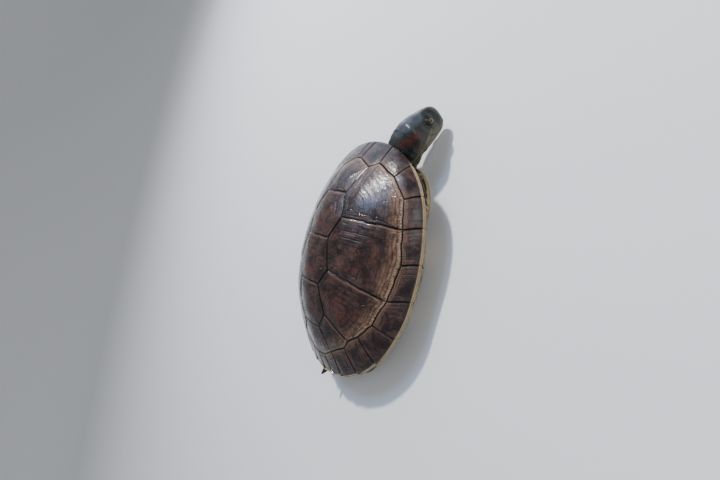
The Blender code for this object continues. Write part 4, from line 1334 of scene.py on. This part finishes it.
# %% Small helpers for nodes
class Nodes:
    """Adds nodes to one tree; an input is a number, a colour or another node's output."""

    def __init__(self, tree):
        self.tree = tree

    def add(self, kind, inputs=None, **settings):
        made = self.tree.nodes.new(kind)
        for key, value in settings.items():
            setattr(made, key, value)
        for key, value in (inputs or {}).items():
            if isinstance(value, bpy.types.NodeSocket):
                self.tree.links.new(value, made.inputs[key])
            else:
                made.inputs[key].default_value = value
        return made

    def maths(self, operation, a, b=0.5, c=0.5):
        return self.add("ShaderNodeMath", {0: a, 1: b, 2: c}, operation=operation).outputs[0]

    def times(self, a, b):
        return self.maths("MULTIPLY", a, b)

    def plus(self, a, b):
        return self.maths("ADD", a, b)

    def times_plus(self, a, b, c):
        return self.maths("MULTIPLY_ADD", a, b, c)

    def wave(self, turns, often=1.0):
        """A sine that repeats that often in every turn."""
        return self.maths("SINE", self.times(turns, 2.0 * math.pi * often))

    def rise(self, value, start, end, low=0.0, high=1.0):
        """Low before the start, high after the end, smooth between."""
        inputs = {"Value": value, "From Min": start, "From Max": end, "To Min": low, "To Max": high}
        return self.add("ShaderNodeMapRange", inputs, interpolation_type="SMOOTHSTEP").outputs[0]

    def marks(self, *names):
        """Numbers that the mesh carries at its points."""
        return [self.add("ShaderNodeAttribute", attribute_name=name).outputs["Fac"] for name in names]

    def place(self):
        return self.add("ShaderNodeTexCoord").outputs["Object"]

    def patches(self, scale, detail, seed, rough, warp):
        """Smooth noise in the object's own coordinates."""
        inputs = {"Vector": self.place(), "Scale": scale, "Detail": detail, "Roughness": rough,
                  "W": seed, "Distortion": warp}
        return self.add("ShaderNodeTexNoise", inputs, noise_dimensions="4D").outputs["Fac"]

    def cloud(self, size, detail=3.0, seed=0.0, rough=0.55, warp=0.0):
        """Smooth noise of a size in millimetres."""
        return self.patches(1.0 / (size * MM), detail, seed, rough, warp)

    def use(self, group, **inputs):
        """A group's outputs, with the given inputs."""
        return self.add("ShaderNodeGroup", inputs, node_tree=group).outputs

    def blotch(self, size, seed, start, end):
        """The mask of some blotches."""
        return self.use(blotch_group, Size=size, Seed=seed, From=start, To=end)["Mask"]

    def layers(self, ground, rows):
        """A ground colour under layers of (mask, strength, colour)."""
        colour = (*ground, 1.0)
        for mask, strength, over in rows:
            factor = mask if strength == 1.0 else self.times(mask, strength)
            over = (*over, 1.0) if isinstance(over, tuple) else over
            inputs = {0: factor, 6: colour, 7: over}
            colour = self.add("ShaderNodeMix", inputs, data_type="RGBA").outputs[2]
        return colour


def effect(name, inputs, build):
    """A node group of numbers; build(nodes, given) returns the value of each output by name."""
    tree = bpy.data.node_groups.new(name, "ShaderNodeTree")
    for label, value in inputs.items():
        socket = tree.interface.new_socket(label, in_out="INPUT", socket_type="NodeSocketFloat")
        socket.default_value = value
    made = build(Nodes(tree), tree.nodes.new("NodeGroupInput").outputs)
    for label in made:
        tree.interface.new_socket(label, in_out="OUTPUT", socket_type="NodeSocketFloat")
    result = tree.nodes.new("NodeGroupOutput")
    for label, value in made.items():
        tree.links.new(value, result.inputs[label])
    print(name, "gives", list(made))
    return tree


# %% [markdown]
# Growth rings follow the number `growth`, which is 0 at a plate's oldest spot and 1 at its edge.
# The comb's teeth cross them: they follow the distance along the plate's edge.

# %% Shared effects
RING_DEPTHS = {"lines": 0.8, "fine": 0.30, "hair": 0.14}
FINER, FINEST = 2.7, 5.8  # how many finer rings there are for each pause in growth


def build_rings(n, given):
    growth, = n.marks("growth")
    turns = n.times_plus(growth, given["Count"], n.times(n.cloud(13.0, 2.0, 3.0), given["Wander"]))
    grown = n.rise(growth, 0.15, 0.5)
    patchy = n.rise(n.cloud(18.0, 2.0, 9.0), 0.36, 0.62)
    lines = n.times(n.rise(n.wave(turns), 0.35, 0.98), n.times(grown, patchy))
    fine = n.times(n.rise(n.wave(turns, FINER), -0.2, 1.0), grown)
    hair = n.times(n.rise(n.wave(turns, FINEST), 0.0, 1.0), grown)
    height = n.times_plus(fine, -RING_DEPTHS["fine"], n.times(lines, -RING_DEPTHS["lines"]))
    return {"Lines": lines, "Fine": fine, "Height": n.times_plus(hair, -RING_DEPTHS["hair"], height)}


def build_comb(n, given):
    turns = n.plus(n.maths("DIVIDE", given["Place"], given["Spacing"]), n.times(n.cloud(5.0, 3.0, 5.0), 2.6))
    ragged = n.times_plus(n.cloud(2.2, 1.0, 7.0), 8.0, given["Away"])
    reach = n.rise(ragged, n.plus(given["Reach"], 4.0), 3.0)
    broken = n.rise(n.cloud(6.0, 2.0, 27.0), 0.34, 0.56, 0.25, 1.0)
    return {"Teeth": n.times(n.times(n.rise(n.wave(turns), -0.2, 0.8), broken), reach)}


def build_blotches(n, given):
    noisy = n.patches(n.maths("DIVIDE", 1.0 / MM, given["Size"]), 4.0, given["Seed"], 0.62, 0.6)
    return {"Mask": n.rise(noisy, given["From"], given["To"])}


def build_film(n, given):
    wet = n.rise(n.cloud(9.0, 3.0, 11.0), 0.38, 0.66)
    rough = n.times_plus(wet, n.maths("SUBTRACT", given["Wet"], given["Dry"]), given["Dry"])
    pits = n.rise(n.cloud(1.6, 2.0, 2.0), 0.62, 0.78)
    height = n.times_plus(pits, -0.35, n.times(n.cloud(0.55, 3.0, 1.0, 0.7), 0.5))
    return {"Roughness": rough, "Height": n.times_plus(n.cloud(1.3, 1.0, 4.0), 0.7, height)}


rings_group = effect("growth rings", {"Count": 9.0, "Wander": 0.55}, build_rings)
comb_group = effect("comb teeth", {"Place": 0.0, "Away": 0.0, "Spacing": 1.1, "Reach": 9.0}, build_comb)
blotch_group = effect("blotches", {"Size": 14.0, "Seed": 0.0, "From": 0.45, "To": 0.6}, build_blotches)
film_group = effect("wet film", {"Dry": 0.45, "Wet": 0.2}, build_film)

# %% A finish
WATER = 1.33  # how strongly the wet film bends light


def finish_material(name, coat, coat_roughness, gloss, build):
    """A material; build(nodes) gives its colour, roughness and height with the height's depth."""
    made = bpy.data.materials.new(name)
    made.use_nodes = True
    n = Nodes(made.node_tree)
    shader = n.tree.nodes["Principled BSDF"]
    colour, roughness, height, depth = build(n)
    bump = n.add("ShaderNodeBump", {"Height": height, "Strength": 1.0, "Distance": depth * MM})
    for label, value in (("Base Color", colour), ("Roughness", roughness),
                         ("Normal", bump.outputs["Normal"]), ("Coat Normal", bump.outputs["Normal"])):
        n.tree.links.new(value, shader.inputs[label])
    for label, value in (("Specular IOR Level", gloss), ("Coat Weight", coat),
                         ("Coat Roughness", coat_roughness), ("Coat IOR", WATER)):
        shader.inputs[label].default_value = value
    print(name, len(n.tree.nodes), "nodes")
    return made


# %% [markdown]
# ### Horn of the back
#
# Old horn, dark brown with reddish and blackish blotches. The youngest horn, next to the rim's
# plates, is a pale tan border crossed by dark teeth and rings. Each plate's front edge is pale
# too, and the seams between plates are black. Towards the tail the horn is painted darker and
# blue grey, a painted reflection of the sky.

# %% Back plates' finish
HORN_FILM = {"Dry": 0.40, "Wet": 0.20}
TOOTH_SPACING, TEETH_REACH, RAYS_REACH = 2.1, 7.0, 26.0  # millimetres


def build_back(n):
    growth, from_rim, from_front, along_rim = n.marks("growth", "from_rim", "from_front", "along_rim")
    rings, film = n.use(rings_group, Count=7.0), n.use(film_group, **HORN_FILM)
    comb, rays = (
        n.use(comb_group, Place=along_rim, Away=from_rim, Spacing=TOOTH_SPACING, Reach=reach)["Teeth"]
        for reach in (TEETH_REACH, RAYS_REACH))
    young = n.rise(n.times_plus(n.cloud(8.0, 3.0, 14.0), 13.0, from_rim), 19.0, 8.5)
    front_line = n.rise(n.times_plus(n.cloud(4.0, 2.0, 18.0), 3.0, from_front), 4.6, 2.6)
    rim_line = n.rise(n.times_plus(n.cloud(2.2, 2.0, 19.0), 5.0, from_rim), 4.6, 3.0)
    # painted reflection of the sky: towards the tail the horn is painted darker and blue grey
    rear = n.rise(n.add("ShaderNodeSeparateXYZ", {0: n.place()}).outputs["Y"], 0.060, 0.115)
    seam_side = n.times(n.rise(growth, 0.955, 0.972), n.rise(from_rim, 1.6, 3.2))
    reddish = n.times(n.blotch(15.0, 4.0, 0.50, 0.66), n.rise(growth, 0.85, 0.50))
    blackish = n.times(n.blotch(13.0, 6.0, 0.49, 0.62), n.rise(growth, 0.95, 0.65))
    colour = n.layers((0.0130, 0.0080, 0.0085), (
        (n.blotch(11.0, 1.0, 0.40, 0.62), 1.0, (0.062, 0.033, 0.028)),  # brown
        (reddish, 0.80, (0.092, 0.024, 0.020)),
        (n.blotch(6.0, 8.0, 0.62, 0.72), 0.70, (0.200, 0.060, 0.026)),  # rust
        (blackish, 0.85, (0.0045, 0.0045, 0.0060)),
        (n.rise(n.cloud(1.3, 2.0, 12.0), 0.38, 0.72), 0.25, (0.120, 0.068, 0.052)),  # streaks
        (young, n.rise(n.cloud(3.5, 3.0, 16.0), 0.36, 0.60, 0.30, 1.0), (0.225, 0.132, 0.084)),
        (front_line, 0.60, (0.210, 0.108, 0.080)),
        (rings["Fine"], n.times_plus(young, 0.40, 0.22), (0.0110, 0.0060, 0.0050)),
        (rim_line, n.rise(n.cloud(9.0, 2.0, 21.0), 0.36, 0.60, 0.25, 0.85), (0.380, 0.262, 0.170)),
        (comb, 0.70, (0.0190, 0.0110, 0.0080)),
        (rings["Lines"], 0.65, (0.0080, 0.0050, 0.0045)),
        # the painted sky reflection towards the tail
        (rear, 0.60, (0.0095, 0.0110, 0.0120)),
        (n.maths("MAXIMUM", seam_side, n.rise(growth, 0.978, 0.990)), 1.0, (0.0030, 0.0026, 0.0026)),
    ))
    ribs = n.plus(n.times(comb, -0.4), n.times(rays, -0.3))
    return colour, film["Roughness"], n.plus(n.plus(rings["Height"], ribs), film["Height"]), 0.11


back_look = finish_material("back_horn", 0.60, 0.07, 0.18, build_back)

# %% [markdown]
# ### Horn of the rim
#
# Each rim plate has a dark middle, a tan border along the seam with toothed rings, a pale yellow
# line on the rim itself, and a yellow underside with a dark curved smudge. A dark line of painted
# shadow lies where the rim's rounded edge turns under.

# %% Rim plates' finish
YELLOW, SMUDGE = (0.26, 0.200, 0.080), (0.018, 0.015, 0.011)


def build_rim(n):
    growth, around, seam_away, edge, under = n.marks("growth", "around", "seam", "edge", "under")
    rings, film = n.use(rings_group, Count=5.0), n.use(film_group, **HORN_FILM)
    comb = n.use(comb_group, Place=around, Away=seam_away, Spacing=2.2, Reach=5.0)["Teeth"]
    # painted shadow: a dark line on the lower half of the rim's rounded edge, where it turns under
    painted_shadow_under_rim = n.rise(n.maths("ABSOLUTE", n.maths("SUBTRACT", under, 0.86)), 0.18, 0.08)
    below = n.layers(YELLOW, (
        (n.times(n.blotch(9.0, 3.0, 0.47, 0.56), n.rise(growth, 0.95, 0.55)), 0.9, SMUDGE),
        # the painted shadow under the rim's edge
        (painted_shadow_under_rim, 0.8, (0.018, 0.014, 0.010)),
    ))
    dark = n.times(n.blotch(9.0, 5.0, 0.36, 0.56), 0.85)
    young = n.rise(n.times_plus(n.cloud(6.0, 2.0, 15.0), 7.0, seam_away), 9.0, 4.5)
    pale_rim = n.times(n.rise(edge, 0.30, 0.75), n.rise(n.cloud(5.0, 3.0, 17.0), 0.25, 0.55, 0.55, 1.0))
    end_seams = n.times(n.rise(growth, 0.920, 0.955), n.rise(edge, 0.6, 0.2))
    colour = n.layers((0.026, 0.015, 0.0145), (
        (n.blotch(8.0, 2.0, 0.38, 0.62), 1.0, (0.092, 0.050, 0.042)),  # brown
        (n.rise(growth, 0.80, 0.35), dark, (0.0140, 0.0090, 0.0105)),
        (n.blotch(10.0, 7.0, 0.54, 0.70), 0.5, (0.080, 0.030, 0.020)),  # red
        (young, 0.75, (0.150, 0.088, 0.056)),
        (comb, 0.55, (0.024, 0.014, 0.010)),
        (rings["Lines"], 0.50, (0.0100, 0.0070, 0.0060)),
        (pale_rim, 0.90, (0.380, 0.280, 0.160)),
        (n.rise(under, 0.35, 0.65), 1.0, below),
        (n.maths("MAXIMUM", end_seams, n.rise(seam_away, 0.7, 0.2)), 1.0, (0.0035, 0.0030, 0.0028)),
    ))
    height = n.plus(n.plus(rings["Height"], n.times(comb, -0.5)), film["Height"])
    return colour, film["Roughness"], height, 0.09


rim_look = finish_material("rim_horn", 0.60, 0.07, 0.18, build_rim)

# %% [markdown]
# ### Horn of the underside
#
# The plastron is yellow with a big dark blotch on each plate and brown stain in its rings.

# %% Plastron's finish
def build_plastron(n):
    growth, fall = n.marks("growth", "fall")
    rings, film = n.use(rings_group, Count=7.0), n.use(film_group, Dry=0.5, Wet=0.3)
    shape = n.times_plus(n.cloud(11.0, 3.0, 21.0, 0.55, 0.5), 0.9, n.times(growth, 0.75))
    colour = n.layers((0.40, 0.31, 0.135), (
        (n.blotch(20.0, 2.5, 0.35, 0.65), 1.0, (0.46, 0.345, 0.185)),
        (n.rise(shape, 0.90, 0.84), 0.35, (0.22, 0.11, 0.04)),  # a brown ring round the blotch
        (n.rise(shape, 0.86, 0.76), 0.88, (0.030, 0.025, 0.020)),
        (rings["Lines"], 0.40, (0.16, 0.095, 0.045)),
        (n.blotch(3.0, 9.0, 0.58, 0.74), 0.30, (0.20, 0.14, 0.08)),  # scuffs
        (n.rise(fall, 0.25, 0.9), 1.0, (0.045, 0.028, 0.018)),
    ))
    return colour, film["Roughness"], n.plus(rings["Height"], film["Height"]), 0.10


plastron_look = finish_material("plastron_horn", 0.35, 0.16, 0.35, build_plastron)

# %% [markdown]
# ### Skin
#
# Dark grey green, mottled, with the markings, the painted shade and the painted sheen that the
# mesh carries. Its bump is a fine pebble between the drops of the wet film.

# %% Skin's finish
PEBBLE = 0.75  # millimetres


def build_skin(n):
    red, stripe, pale, horn, dusk = n.marks("red", "stripe", "pale", "horn", "dusk")
    film = n.use(film_group, Dry=0.48, Wet=0.28)
    worn = n.rise(n.cloud(4.0, 3.0, 23.0), 0.30, 0.65, 0.55, 1.0)
    colour = n.layers((0.0075, 0.0088, 0.0088), (
        (n.blotch(7.0, 1.5, 0.36, 0.64), 1.0, (0.0215, 0.0235, 0.0205)),  # green
        (n.blotch(3.5, 3.5, 0.56, 0.70), 0.6, (0.0055, 0.0055, 0.0060)),  # black
        # painted shade, then the painted sheen: a bluish painted reflection of the sky on the crown
        (dusk, 0.65, (0.0050, 0.0052, 0.0032)),
        (n.rise(dusk, 0.0, -1.0), 1.0, (0.070, 0.088, 0.112)),  # sheen
        (pale, worn, (0.215, 0.190, 0.110)),
        (n.times(stripe, worn), 0.40, (0.200, 0.180, 0.085)),
        (red, 0.80, (0.085, 0.0150, 0.0120)),
        (horn, 0.50, (0.075, 0.066, 0.038)),
    ))
    pebbles = n.add("ShaderNodeTexVoronoi", {"Vector": n.place(), "Scale": 1.0 / (PEBBLE * MM)})
    return colour, film["Roughness"], n.times_plus(pebbles.outputs["Distance"], -0.8, film["Height"]), 0.07


skin_look = finish_material("wet_skin", 0.45, 0.12, 0.20, build_skin)

# %% [markdown]
# ### Eye and claw
#
# The iris is olive yellow with fine spokes, a dark bar runs through it and the pupil, and the
# white never shows. The numbers `gaze`, `fore` and `across` are places on the eyeball.

# %% Eye's and claws' finishes
PUPIL, IRIS = 1.02, 2.9  # how far they reach from the eye's axis over the ball, in millimetres


def build_eye(n):
    gaze, fore, across = n.marks("gaze", "fore", "across")
    turned = n.times(n.maths("ARCTAN2", across, fore), 9.0)
    spokes = n.add("ShaderNodeTexNoise", {"W": turned, "Scale": 1.0, "Detail": 2.0},
                   noise_dimensions="1D").outputs["Fac"]
    ring = n.rise(n.maths("ABSOLUTE", n.maths("SUBTRACT", gaze, 1.55)), 0.30, 0.10)
    bar = n.rise(n.times_plus(spokes, 0.5, n.maths("ABSOLUTE", across)), 1.0, 0.75)
    colour = n.layers((0.030, 0.030, 0.010), (
        (n.rise(spokes, 0.35, 0.65), 1.0, (0.088, 0.086, 0.022)),
        (ring, 0.6, (0.135, 0.125, 0.034)),
        (bar, 0.9, (0.016, 0.014, 0.008)),
        (n.rise(gaze, 2.45, IRIS), 1.0, (0.014, 0.013, 0.010)),
        (n.rise(gaze, 1.15, PUPIL), 1.0, (0.002, 0.002, 0.002)),
    ))
    return colour, n.rise(gaze, 0.0, 4.0, 0.12, 0.22), spokes, 0.01


def build_claw(n):
    tip, = n.marks("along")
    film = n.use(film_group, Dry=0.38, Wet=0.22)
    colour = n.layers((0.022, 0.018, 0.014), (
        (n.rise(n.cloud(1.1, 3.0, 6.0), 0.35, 0.65), 1.0, (0.070, 0.054, 0.038)),  # streaks
        (n.rise(tip, 0.55, 1.0), 1.0, (0.15, 0.115, 0.075)),
    ))
    return colour, film["Roughness"], film["Height"], 0.05


eye_look = finish_material("wet_eye", 0.7, 0.03, 0.25, build_eye)
claw_look = finish_material("claw_horn", 0.45, 0.12, 0.35, build_claw)

# %% Plates as finished pieces
for meshes, look, slot in ((back_plates, back_look, "carapace_horn"), (rim_plates, rim_look, "marginal_horn"),
                           (plastron_plates, plastron_look, "plastron_horn")):
    for name, mesh in meshes.items():
        finished(as_object(f"{name}_horn", mesh, look), "carapace_horn" if name == "nuchal" else slot, name)
    print(slot, len(meshes), "plates")

# %% [markdown]
# ### Eyes and claws
#
# An eyeball carries its place along, across and away from its own axis, and its cornea bulges.
# A claw is a tube of ovals along an arc that droops and narrows to a blunt point.

# %% Eyes
CORNEA, CORNEA_REACH = 0.22, 2.3
BALL_SUNK = 0.02  # keeps the ball off the lids
BALL_SEGMENTS, BALL_RINGS = 72, 48


def eyeball(side):
    """A ball with a bulging cornea, whose points know where they lie from the eye's axis."""
    eye, axis, fore, across = eye_frame(side)
    mesh = bmesh.new()
    layers = number_layers(mesh, ("gaze", "fore", "across"))
    bmesh.ops.create_uvsphere(mesh, u_segments=BALL_SEGMENTS, v_segments=BALL_RINGS, radius=1.0)
    for vertex in mesh.verts:
        direction = (fore * vertex.co.x + across * vertex.co.y + axis * vertex.co.z).normalized()
        bend = direction.angle(axis) * EYE_RADIUS
        flat = Vector((vertex.co.x, vertex.co.y))
        flat = flat.normalized() * bend if flat.length > 1e-6 else flat
        for layer, value in zip(layers.values(), (bend, flat.x, flat.y)):
            vertex[layer] = value
        reach = EYE_RADIUS + CORNEA * (1.0 - ease(bend, 0.0, CORNEA_REACH)) - BALL_SUNK
        vertex.co = world(*head_place(*(eye + direction * reach)))
    bmesh.ops.recalc_face_normals(mesh, faces=mesh.faces)
    return mesh


for side_name, side in SIDES:
    ball = finished(as_object(f"eyeball_{side_name}", eyeball(side), eye_look), "eye", f"eye_{side_name}")
    print(ball.name, len(ball.data.polygons), "faces")

# %% Claws
CLAW_SIDES, CLAW_STEPS = 12, 12
CLAW_LENGTH, CLAW_DROOP, CLAW_WIDE, CLAW_HIGH, CLAW_LOW = 7.2, 2.1, 1.05, 1.35, 0.75
CLAW_BURIED = 0.16  # share of the toe that the claw's root is sunk in
CLAW_TAPER, CLAW_TIP = 1.6, 0.10


def pour(one, holder, into):
    """Adds a small mesh to a larger one."""
    one.to_mesh(holder)
    one.free()
    into.from_mesh(holder)


def claws(path, side):
    """The claws of one foot."""
    mesh = bmesh.new()
    number_layers(mesh, ("along",))
    holder = bpy.data.meshes.new("claw")
    toes = toe_lines(path, side)
    if path is HIND_LEG:  # the outer toe of a hind foot bears no claw
        toes.remove(max(toes, key=lambda toe: side * toe[0].x))
    for root, aim, length in toes:
        out = aim.cross(UP).normalized()
        up = out.cross(aim)
        start = root + aim * length * (TOE_FLESH - CLAW_BURIED)
        stations = []
        for k in range(CLAW_STEPS + 1):
            t = k / CLAW_STEPS
            centre = start + aim * CLAW_LENGTH * (length / TOE_LENGTH) * t - up * CLAW_DROOP * t * t
            size = max(1.0 - t ** CLAW_TAPER, CLAW_TIP) * (0.80 + 0.20 * ease(t, 0.0, 0.25))
            high = CLAW_HIGH * size
            stations.append((centre, out, up, CLAW_WIDE * size, high, high * CLAW_LOW))
        claw = tube(stations, CLAW_SIDES, lambda row, _: {"along": clamp((row - 1) / CLAW_STEPS)})
        pour(claw, holder, mesh)
    bpy.data.meshes.remove(holder)
    return mesh


for side_name, side in SIDES:
    for foot, path in (("fore", FORELEGS[side_name]), ("hind", HIND_LEG)):
        piece = finished(as_object(f"claws_{foot}_{side_name}", claws(path, side), claw_look), "claw")
        print(piece.name, len(piece.data.polygons), "faces")

# %% [markdown]
# ### Scales
#
# Fine scales cover the neck, the legs and the tail, larger on the legs. Each is a low dome set
# on a point of the skin and a little sunk on the side towards the shell. Those points, its roots,
# are chosen one by one so that none is much nearer to another than a scale's width. A scale
# carries its root's markings, and on the map `OFBake` it is a patch 0.003 wide at its root's place.

# %% Choosing the roots
# widths in millimetres by part: near the body, at the far end
SCALE_WIDTHS = {"neck": (1.25, 1.0), "tail": (1.6, 1.0), "foreleg": (1.9, 1.6), "hind_leg": (2.0, 1.6)}
SCALE_UNEVEN, SCALE_APART = 0.12, 0.86
BARE_FROM, BARE_TO, BARE_SLANT = 9.0, 17.0, 16.0  # the head is bare ahead of this, and sooner at its top
TAIL_TIP = 1.5  # millimetres of bare tail
NEIGHBOURS = [(dx, dy, dz) for dx in (-1, 0, 1) for dy in (-1, 0, 1) for dz in (-1, 0, 1)]


def scale_roots(part):
    """Points of the skin for the scales of a part, each with its width."""
    wide_from, wide_to = next(widths for kind, widths in SCALE_WIDTHS.items() if part.startswith(kind))
    order = [vertex for vertex, name in zip(skin_mesh.verts, belongs) if name == part]
    longest = max(vertex[mark_layers["along"]] for vertex in order)
    order.sort(key=lambda vertex: noise.cell(vertex.co / MM * 7.3))
    taken, chosen = {}, []
    for vertex in order:
        spot = body_spot(vertex)
        along = vertex[mark_layers["along"]]
        ahead, _, up = head_local(spot)
        if part == "neck" and ahead > mix(BARE_FROM, BARE_TO, clamp(0.5 - up / BARE_SLANT)):
            continue
        if part == "tail" and along > longest - TAIL_TIP:
            continue
        uneven = 1.0 + SCALE_UNEVEN * wander(spot, 5.0, 6.0)
        width = mix(wide_from, wide_to, along / longest) * uneven * FINE
        cell = tuple(math.floor(value / width) for value in spot)
        near = [other for step in NEIGHBOURS
                for other in taken.get(tuple(a + b for a, b in zip(cell, step)), ())]
        if any((other - spot).length_squared < (SCALE_APART * width) ** 2 for other in near):
            continue
        taken.setdefault(cell, []).append(spot)
        chosen.append((vertex, width))
    return chosen


print("parts with scales", list(SCALE_WIDTHS))

# %% Laying the scales
PARTS = ("trunk", "tail", "hind_leg_left", "hind_leg_right", "foreleg_left", "foreleg_right", "neck")
PATCH = 0.003
MAP_COLUMNS, MAP_MARGIN, MAP_LONGEST = 4, 0.01, 110.0
SCALE_SIDES, SCALE_THICK, SCALE_TOP, SCALE_CROWN = 6, 0.55, 0.62, 0.07
SCALE_LIFT, SCALE_TILT, SCALE_DRIFT = 0.10, 0.10, 0.5
COVER = 0.58  # a scale's radius, against the distance between scales


def map_place(part, along, around):
    """Where a point of the skin lies on the map: each part has a quarter by a half of it."""
    row, column = divmod(PARTS.index(part), MAP_COLUMNS)
    far = min(along / MAP_LONGEST, 1.0)
    return Vector((column * 0.25 + MAP_MARGIN + 0.23 * around, row * 0.5 + MAP_MARGIN + 0.46 * far))


def onward(vertex):
    """The direction over the skin away from the shell, or None where it has none."""
    grade = Vector()
    for edge in vertex.link_edges:
        other = edge.other_vert(vertex)
        step = other.co - vertex.co
        more = other[mark_layers["along"]] - vertex[mark_layers["along"]]
        grade += step * more / max(step.length_squared, 1e-12)
    grade -= vertex.normal * grade.dot(vertex.normal)
    return grade.normalized() if grade.length >= 1e-9 else None


def scale_on(vertex, width, fore, root):
    """One scale on a point of the skin, with that point's marks and its patch of the map."""
    normal, radius = vertex.normal, width * COVER * MM
    turn = Matrix((fore, normal.cross(fore), normal)).transposed()
    drift = Vector(noise.cell_vector(vertex.co / MM * 5.3)) - Vector((0.5, 0.5, 0.5))
    drift -= normal * drift.dot(normal)
    place = vertex.co + drift * width * SCALE_DRIFT * MM
    one = bmesh.new()
    layers = number_layers(one, MARKS)
    uv = one.loops.layers.uv.new("OFBake")
    bmesh.ops.create_cone(one, cap_ends=True, segments=SCALE_SIDES, radius1=radius,
                          radius2=radius * SCALE_TOP, depth=SCALE_THICK * MM)
    top = max(one.faces, key=lambda face: face.calc_center_median().z)
    bmesh.ops.poke(one, faces=[top])["verts"][0].co.z += SCALE_CROWN * MM
    for face in one.faces:
        for loop in face.loops:
            loop[uv].uv = root + Vector((loop.vert.co.x, loop.vert.co.y)) / radius * PATCH / 2
    for point in one.verts:
        for name in MARKS:
            point[layers[name]] = vertex[mark_layers[name]]
        local = point.co.copy()
        local.z += SCALE_LIFT * MM + local.x * SCALE_TILT
        point.co = place + turn @ local
    return one


def lay_scales(part):
    """All the scales of a part, as one piece."""
    coat = bmesh.new()
    number_layers(coat, MARKS)
    coat.loops.layers.uv.new("OFBake")
    holder = bpy.data.meshes.new("scale")
    count = 0
    for vertex, width in scale_roots(part):
        fore = onward(vertex)
        if fore is not None:
            root = map_place(part, vertex[mark_layers["along"]], vertex[mark_layers["around"]])
            pour(scale_on(vertex, width, fore, root), holder, coat)
            count += 1
    bpy.data.meshes.remove(holder)
    piece = finished(as_object(f"scales_{part}", coat, skin_look), "skin")
    triangles = sum(len(face.vertices) - 2 for face in piece.data.polygons)
    print(piece.name, count, "scales,", triangles, "triangles")


skin_mesh.normal_update()
for part in PARTS[1:]:  # the trunk is out of sight and has no scales
    lay_scales(part)

# %% Skin as a finished piece
flesh = ("trunk", "neck", "head", "tail", "foreleg_left", "foreleg_right", "hind_leg_left", "hind_leg_right")
skin = finished(as_object("skin_surface", skin_mesh, skin_look), "skin", *flesh)
print(skin.name, len(skin.data.vertices), "points")
